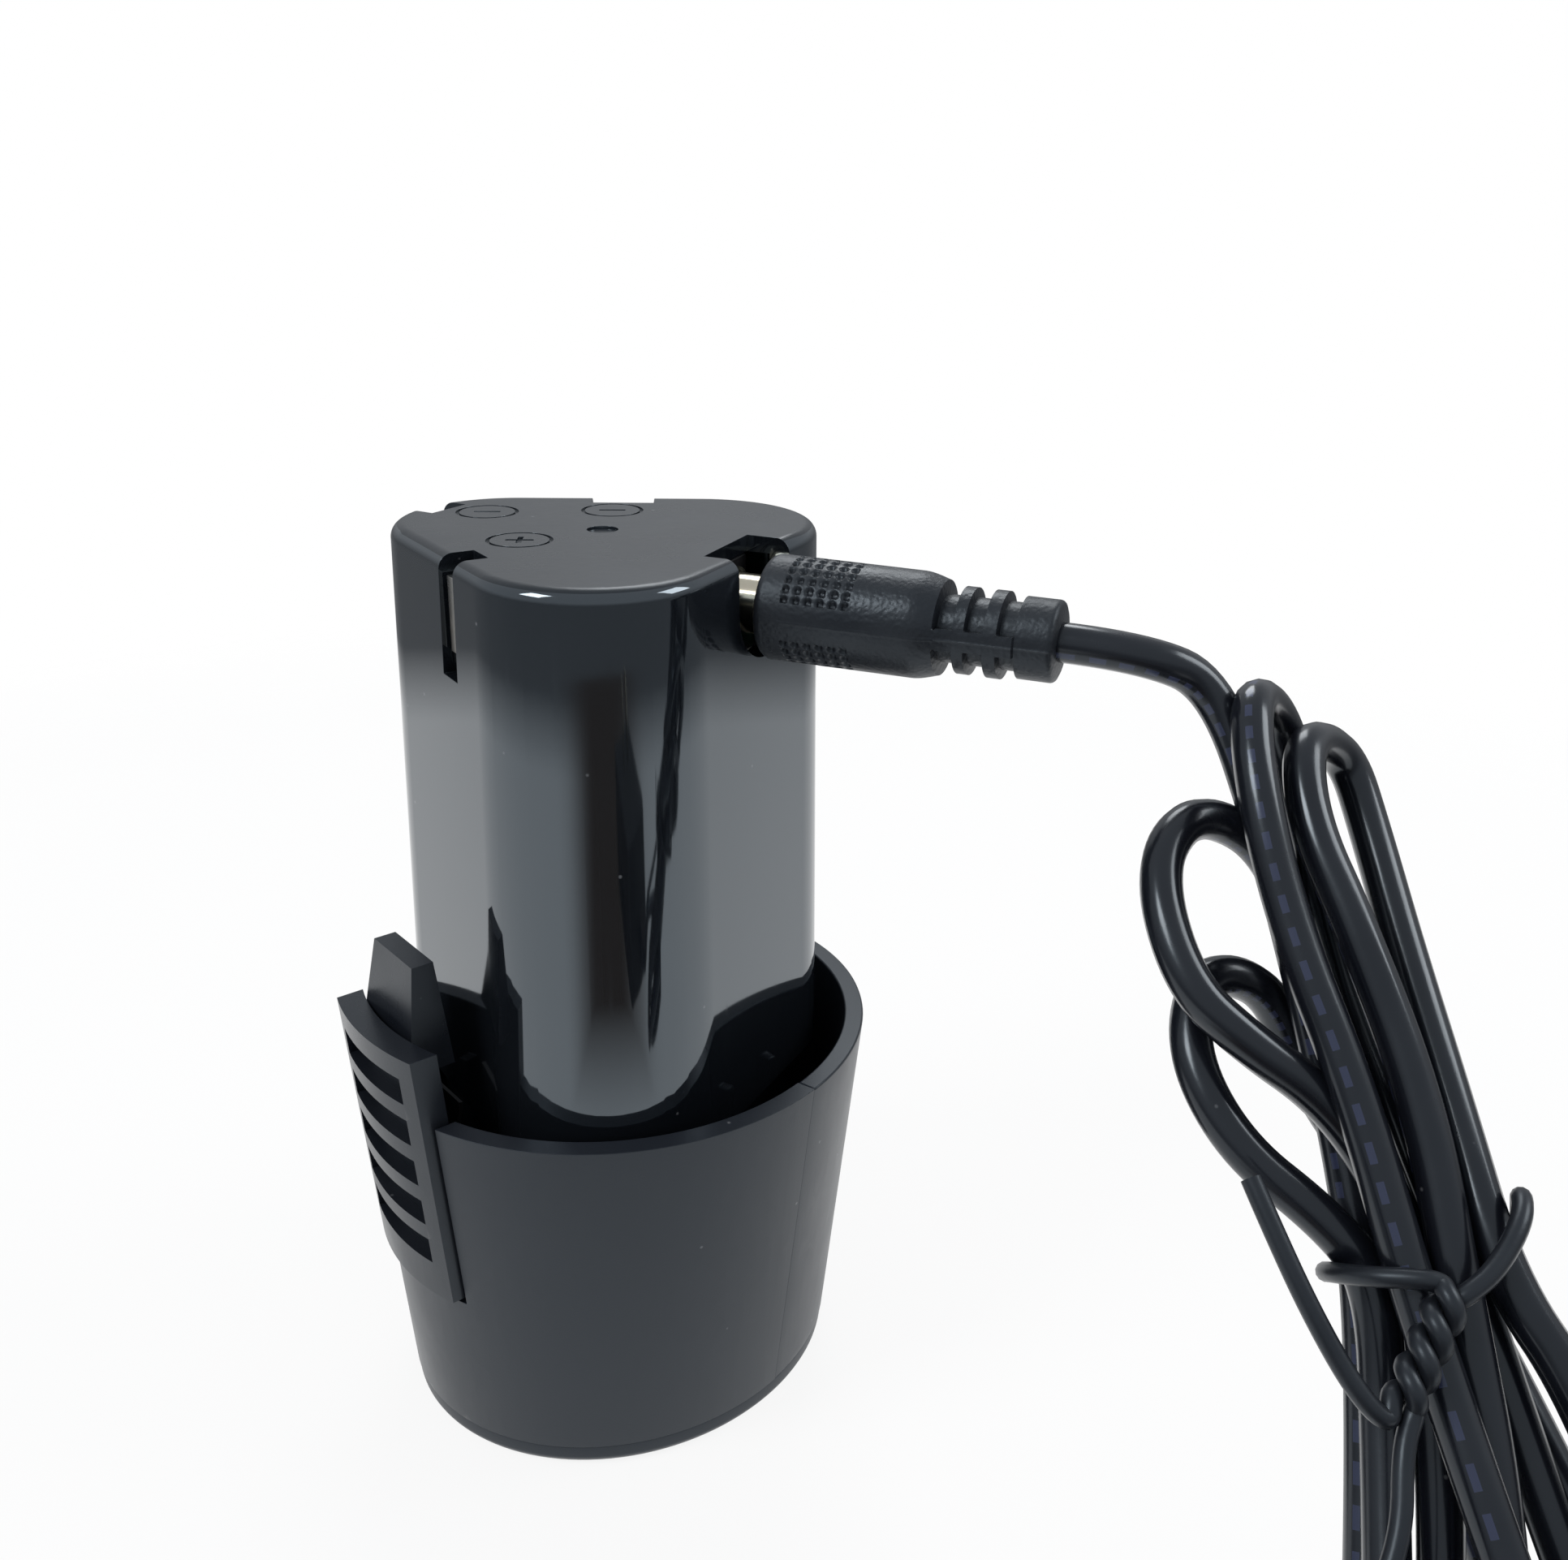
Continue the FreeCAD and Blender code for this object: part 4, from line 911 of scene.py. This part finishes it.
@dataclass
class Supply:
    """The small mains supply at the cord's far end."""

    rib_height: float = 0.0005
    rib_width: float = 0.0011
    rib_length: float = 0.0075
    rib_pitch: float = 0.0024
    rib_lift: float = 0.001
    rib_count: int = 9
    case_edge: float = 0.0009

    def dress(self) -> list[bpy.types.Object]:
        """Builds the supply's pieces and returns them."""
        pieces = [
            Rounded("supply_case_lower", Body.LEAD, Slot.SUPPLY, SUPPLY_GRAIN, self.case_edge, 3).make(),
            Rounded("supply_case_upper", Body.LEAD, Slot.SUPPLY, SUPPLY_GRAIN, self.case_edge, 3).make(),
            Rounded("supply_prongs", Body.LEAD, Slot.PLATED, NICKEL, 0.0003, 3).make(),
            Rounded("supply_cord_relief", Body.LEAD, Slot.OVERMOULD, GRAINED_SOFT, 0.0003).make(),
            self.grip(),
        ]
        paint_nodes(BOARD_MASK, ("supply_board",))
        paint_nodes(HOLDER_PLASTIC, ("supply_board_posts",))
        paint_nodes(TAPE, ("supply_transformer",))
        paint_nodes(CAN_SLEEVE, ("supply_capacitor", "supply_output_capacitor"))
        return pieces

    def grip(self) -> bpy.types.Object:
        """Builds the finger ribs on the two long sides of the case and returns them as one piece."""
        low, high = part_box("supply_case_lower")
        middle = (low + high) / 2
        step = Vector((0.0, self.rib_pitch, 0.0))
        start = middle.y - step.y * (self.rib_count - 1) / 2
        work = bmesh.new()
        for number, x in enumerate((low.x, high.x)):
            row = RibRow(f"supply_grip_{number}", Vector((x, start, middle.z + self.rib_lift)), step,
                         Vector((2 * self.rib_height, self.rib_width, self.rib_length)),
                         self.rib_count, SUPPLY_GRAIN)
            work.from_mesh(row.mesh())
        mesh = bpy.data.meshes.new("supply_grip_ribs")
        work.to_mesh(mesh)
        work.free()
        smooth_normals(mesh)
        return hand_over(shown(mesh, "supply_grip_ribs", SUPPLY_GRAIN), Body.LEAD, Slot.SUPPLY)


@dataclass
class Studio:
    """The pale floor, the soft lamps and the camera at the photograph's angle.

    Args:
        focal: the camera's focal length on a sensor 36 mm wide.
        position: where the camera is.
        right, up, forward: its own axes.
        middle: where the floor's round sheets have their middle.
        sheet_height, sheet_white: the pale sheet's height, and how much of it glows white when seen.
        sheet_reach, sheet_fade: its radius, and where it fades from and to.
        card_height, card_reach: the height and radius of the card of painted shade.
        card_origin: how far the tip of its sector lies from the middle, along Y.
        card_heading: the middle of its sector, in radians from straight ahead.
        card_soft: half the sector's width, where it is full and where it has faded out.
        card_near: how far from the middle it is clear, and where it is full.
        aim: what the lamps face.
    """

    focal: float = 35.40
    position: Vector = Vector((0.01058, -0.14456, 0.12501))
    right: Vector = Vector((0.99898, -0.04266, 0.01462))
    up: Vector = Vector((0.00224, 0.37088, 0.92868))
    forward: Vector = Vector((0.04504, 0.92770, -0.37060))
    middle: Vector = Vector((0.01, -0.02, 0.0))
    sheet_height: float = -0.0002
    sheet_white: float = 0.88
    sheet_reach: float = 0.33
    sheet_fade: tuple[float, float] = (0.235, 0.30)
    card_height: float = 0.0003
    card_origin: float = -0.015
    card_reach: float = 0.30
    card_heading: float = 0.14
    card_soft: tuple[float, float] = (0.14, 0.72)
    card_near: tuple[float, float] = (0.09, 0.125)
    aim: Vector = Vector((0.02, -0.02, 0.05))

    def _seen(self, nodes, links) -> bpy.types.NodeSocket:
        """Returns 1 for rays from the camera, from gloss and through glass, otherwise 0."""
        path = nodes.new("ShaderNodeLightPath").outputs
        first = maths(nodes, links, "MAXIMUM", path["Is Camera Ray"], path["Is Glossy Ray"])
        return maths(nodes, links, "MAXIMUM", first, path["Is Transmission Ray"])

    def camera(self) -> None:
        """Places the camera."""
        data = bpy.data.cameras.new("photo_camera")
        data.lens = self.focal
        data.sensor_width = 36.0
        data.sensor_fit = "HORIZONTAL"
        data.clip_start = 0.005
        obj = placed("photo_camera", data)
        turn = Matrix((self.right, self.up, -self.forward)).transposed().to_4x4()
        obj.matrix_world = Matrix.Translation(self.position) @ turn
        bpy.context.scene.camera = obj

    def _disc(self, made: bpy.types.Material, height: float, reach: float) -> bpy.types.Object:
        """Lays a flat round sheet of a material and returns it, marked as part of the stage."""
        work = bmesh.new()
        bmesh.ops.create_circle(work, cap_ends=True, segments=96, radius=reach,
                                matrix=Matrix.Translation((self.middle.x, self.middle.y, height)))
        mesh = bpy.data.meshes.new(made.name)
        work.to_mesh(mesh)
        work.free()
        obj = placed(made.name, mesh)
        mesh.materials.append(made)
        return obj

    def _bare_material(self, name: str) -> bpy.types.Material:
        """Returns a new material with only its output node."""
        made = bpy.data.materials.new(name)
        made.use_nodes = True
        made.node_tree.nodes.remove(made.node_tree.nodes["Principled BSDF"])
        return made

    def floor(self) -> None:
        """Lays the pale sheet that everything stands on, with a soft edge."""
        made = self._bare_material("pale_sheet")
        nodes, links = made.node_tree.nodes, made.node_tree.links
        matt = nodes.new("ShaderNodeBsdfDiffuse")
        matt.inputs["Color"].default_value = (0.9, 0.9, 0.9, 1.0)
        white = nodes.new("ShaderNodeEmission")
        white.inputs["Color"].default_value = (1.0, 1.0, 1.0, 1.0)
        share = maths(nodes, links, "MULTIPLY", self._seen(nodes, links), self.sheet_white)
        mix = nodes.new("ShaderNodeMixShader")
        links.new(share, mix.inputs[0])
        links.new(matt.outputs[0], mix.inputs[1])
        links.new(white.outputs[0], mix.inputs[2])
        where = nodes.new("ShaderNodeTexCoord")
        away = nodes.new("ShaderNodeVectorMath")
        away.operation = "LENGTH"
        clear = nodes.new("ShaderNodeBsdfTransparent")
        fade = nodes.new("ShaderNodeMixShader")
        links.new(where.outputs["Object"], away.inputs[0])
        links.new(ranged(nodes, links, away.outputs["Value"], *self.sheet_fade), fade.inputs[0])
        links.new(mix.outputs[0], fade.inputs[1])
        links.new(clear.outputs[0], fade.inputs[2])
        links.new(fade.outputs[0], nodes["Material Output"].inputs["Surface"])
        self._disc(made, self.sheet_height, self.sheet_reach)

    def painted_shade_card(self) -> None:
        """Lays a card of painted shade in front of the pack. Only its gloss sees it, and it paints the dark
        reflection of the camera's side of the room into the glossy stem.
        """
        made = self._bare_material("painted_shade_card")
        nodes, links = made.node_tree.nodes, made.node_tree.links
        where = nodes.new("ShaderNodeTexCoord")
        split = nodes.new("ShaderNodeSeparateXYZ")
        away = nodes.new("ShaderNodeVectorMath")
        away.operation = "LENGTH"
        links.new(where.outputs["Object"], split.inputs[0])
        links.new(where.outputs["Object"], away.inputs[0])
        ahead = maths(nodes, links, "MULTIPLY_ADD", split.outputs["Y"], -1.0, self.card_origin)
        heading = maths(nodes, links, "ARCTAN2", split.outputs["X"], ahead)
        off = maths(nodes, links, "ABSOLUTE", maths(nodes, links, "SUBTRACT", heading, self.card_heading))
        soft = ranged(nodes, links, off, *self.card_soft, interpolation="SMOOTHSTEP")
        near = ranged(nodes, links, away.outputs["Value"], *reversed(self.card_near))
        # Painted shade: a dim brownish glow that the gloss shows as the dark strip down the stem's front
        # corner.
        dark = nodes.new("ShaderNodeEmission")
        dark.inputs["Color"].default_value = (0.10, 0.075, 0.06, 1.0)
        clear = nodes.new("ShaderNodeBsdfTransparent")
        mix = nodes.new("ShaderNodeMixShader")
        links.new(maths(nodes, links, "MAXIMUM", soft, near), mix.inputs[0])
        links.new(dark.outputs[0], mix.inputs[1])
        links.new(clear.outputs[0], mix.inputs[2])
        links.new(mix.outputs[0], nodes["Material Output"].inputs["Surface"])
        card = self._disc(made, self.card_height, self.card_reach)
        card.visible_camera = False
        card.visible_diffuse = False
        card.visible_shadow = False
        card.visible_transmission = False

    def world(self) -> None:
        """Fills the room with even light, white where the camera sees it."""
        world = bpy.data.worlds.new("studio_room")
        bpy.context.scene.world = world
        world.use_nodes = True
        nodes, links = world.node_tree.nodes, world.node_tree.links
        even = nodes["Background"]
        even.inputs["Color"].default_value = (0.93, 0.96, 1.0, 1.0)
        low = nodes.new("ShaderNodeTexCoord")
        height = nodes.new("ShaderNodeSeparateXYZ")
        links.new(low.outputs["Generated"], height.inputs[0])
        strength = ranged(nodes, links, height.outputs["Z"], -0.05, 0.25, 0.22, 0.55)
        links.new(strength, even.inputs["Strength"])
        white = nodes.new("ShaderNodeBackground")
        white.inputs["Color"].default_value = (1.0, 1.0, 1.0, 1.0)
        path = nodes.new("ShaderNodeLightPath")
        mix = nodes.new("ShaderNodeMixShader")
        links.new(path.outputs["Is Camera Ray"], mix.inputs[0])
        links.new(even.outputs[0], mix.inputs[1])
        links.new(white.outputs[0], mix.inputs[2])
        links.new(mix.outputs[0], nodes["World Output"].inputs["Surface"])

    def lamp(self, name: str, place: Vector, size: float, power: float) -> None:
        """Hangs one soft square lamp that faces the pack.

        Args:
            name: the lamp's name.
            place: where it hangs.
            size: its side.
            power: its power in watts.
        """
        data = bpy.data.lights.new(name, "AREA")
        data.size = size
        data.energy = power
        obj = placed(name, data)
        obj.location = place
        obj.rotation_euler = (self.aim - place).to_track_quat("-Z", "Y").to_euler()

    def build(self) -> None:
        """Sets up the view, the floor, the room and the lamps."""
        bpy.context.scene.view_settings.view_transform = "Standard"
        self.camera()
        self.floor()
        self.painted_shade_card()
        self.world()
        self.lamp("lamp_left", Vector((-0.38, -0.22, 0.52)), 0.20, 1.3)
        self.lamp("lamp_right", Vector((0.46, -0.02, 0.40)), 0.22, 0.8)
        self.lamp("lamp_back", Vector((0.05, 0.42, 0.50)), 0.24, 0.9)


def main() -> None:
    """Builds the studio and every piece."""
    logging.basicConfig(level=logging.INFO, format="%(message)s")
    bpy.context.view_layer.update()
    Studio().build()
    Pack().dress()
    Plug().dress()
    companions = Supply().dress()
    Lead().cord([*companions, *(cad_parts[n] for n in (
        "supply_board", "supply_board_posts", "supply_transformer", "supply_capacitor",
        "supply_output_capacitor"))])
    WireTie().dress()
    bpy.context.view_layer.update()


if __name__ == "__main__":
    main()
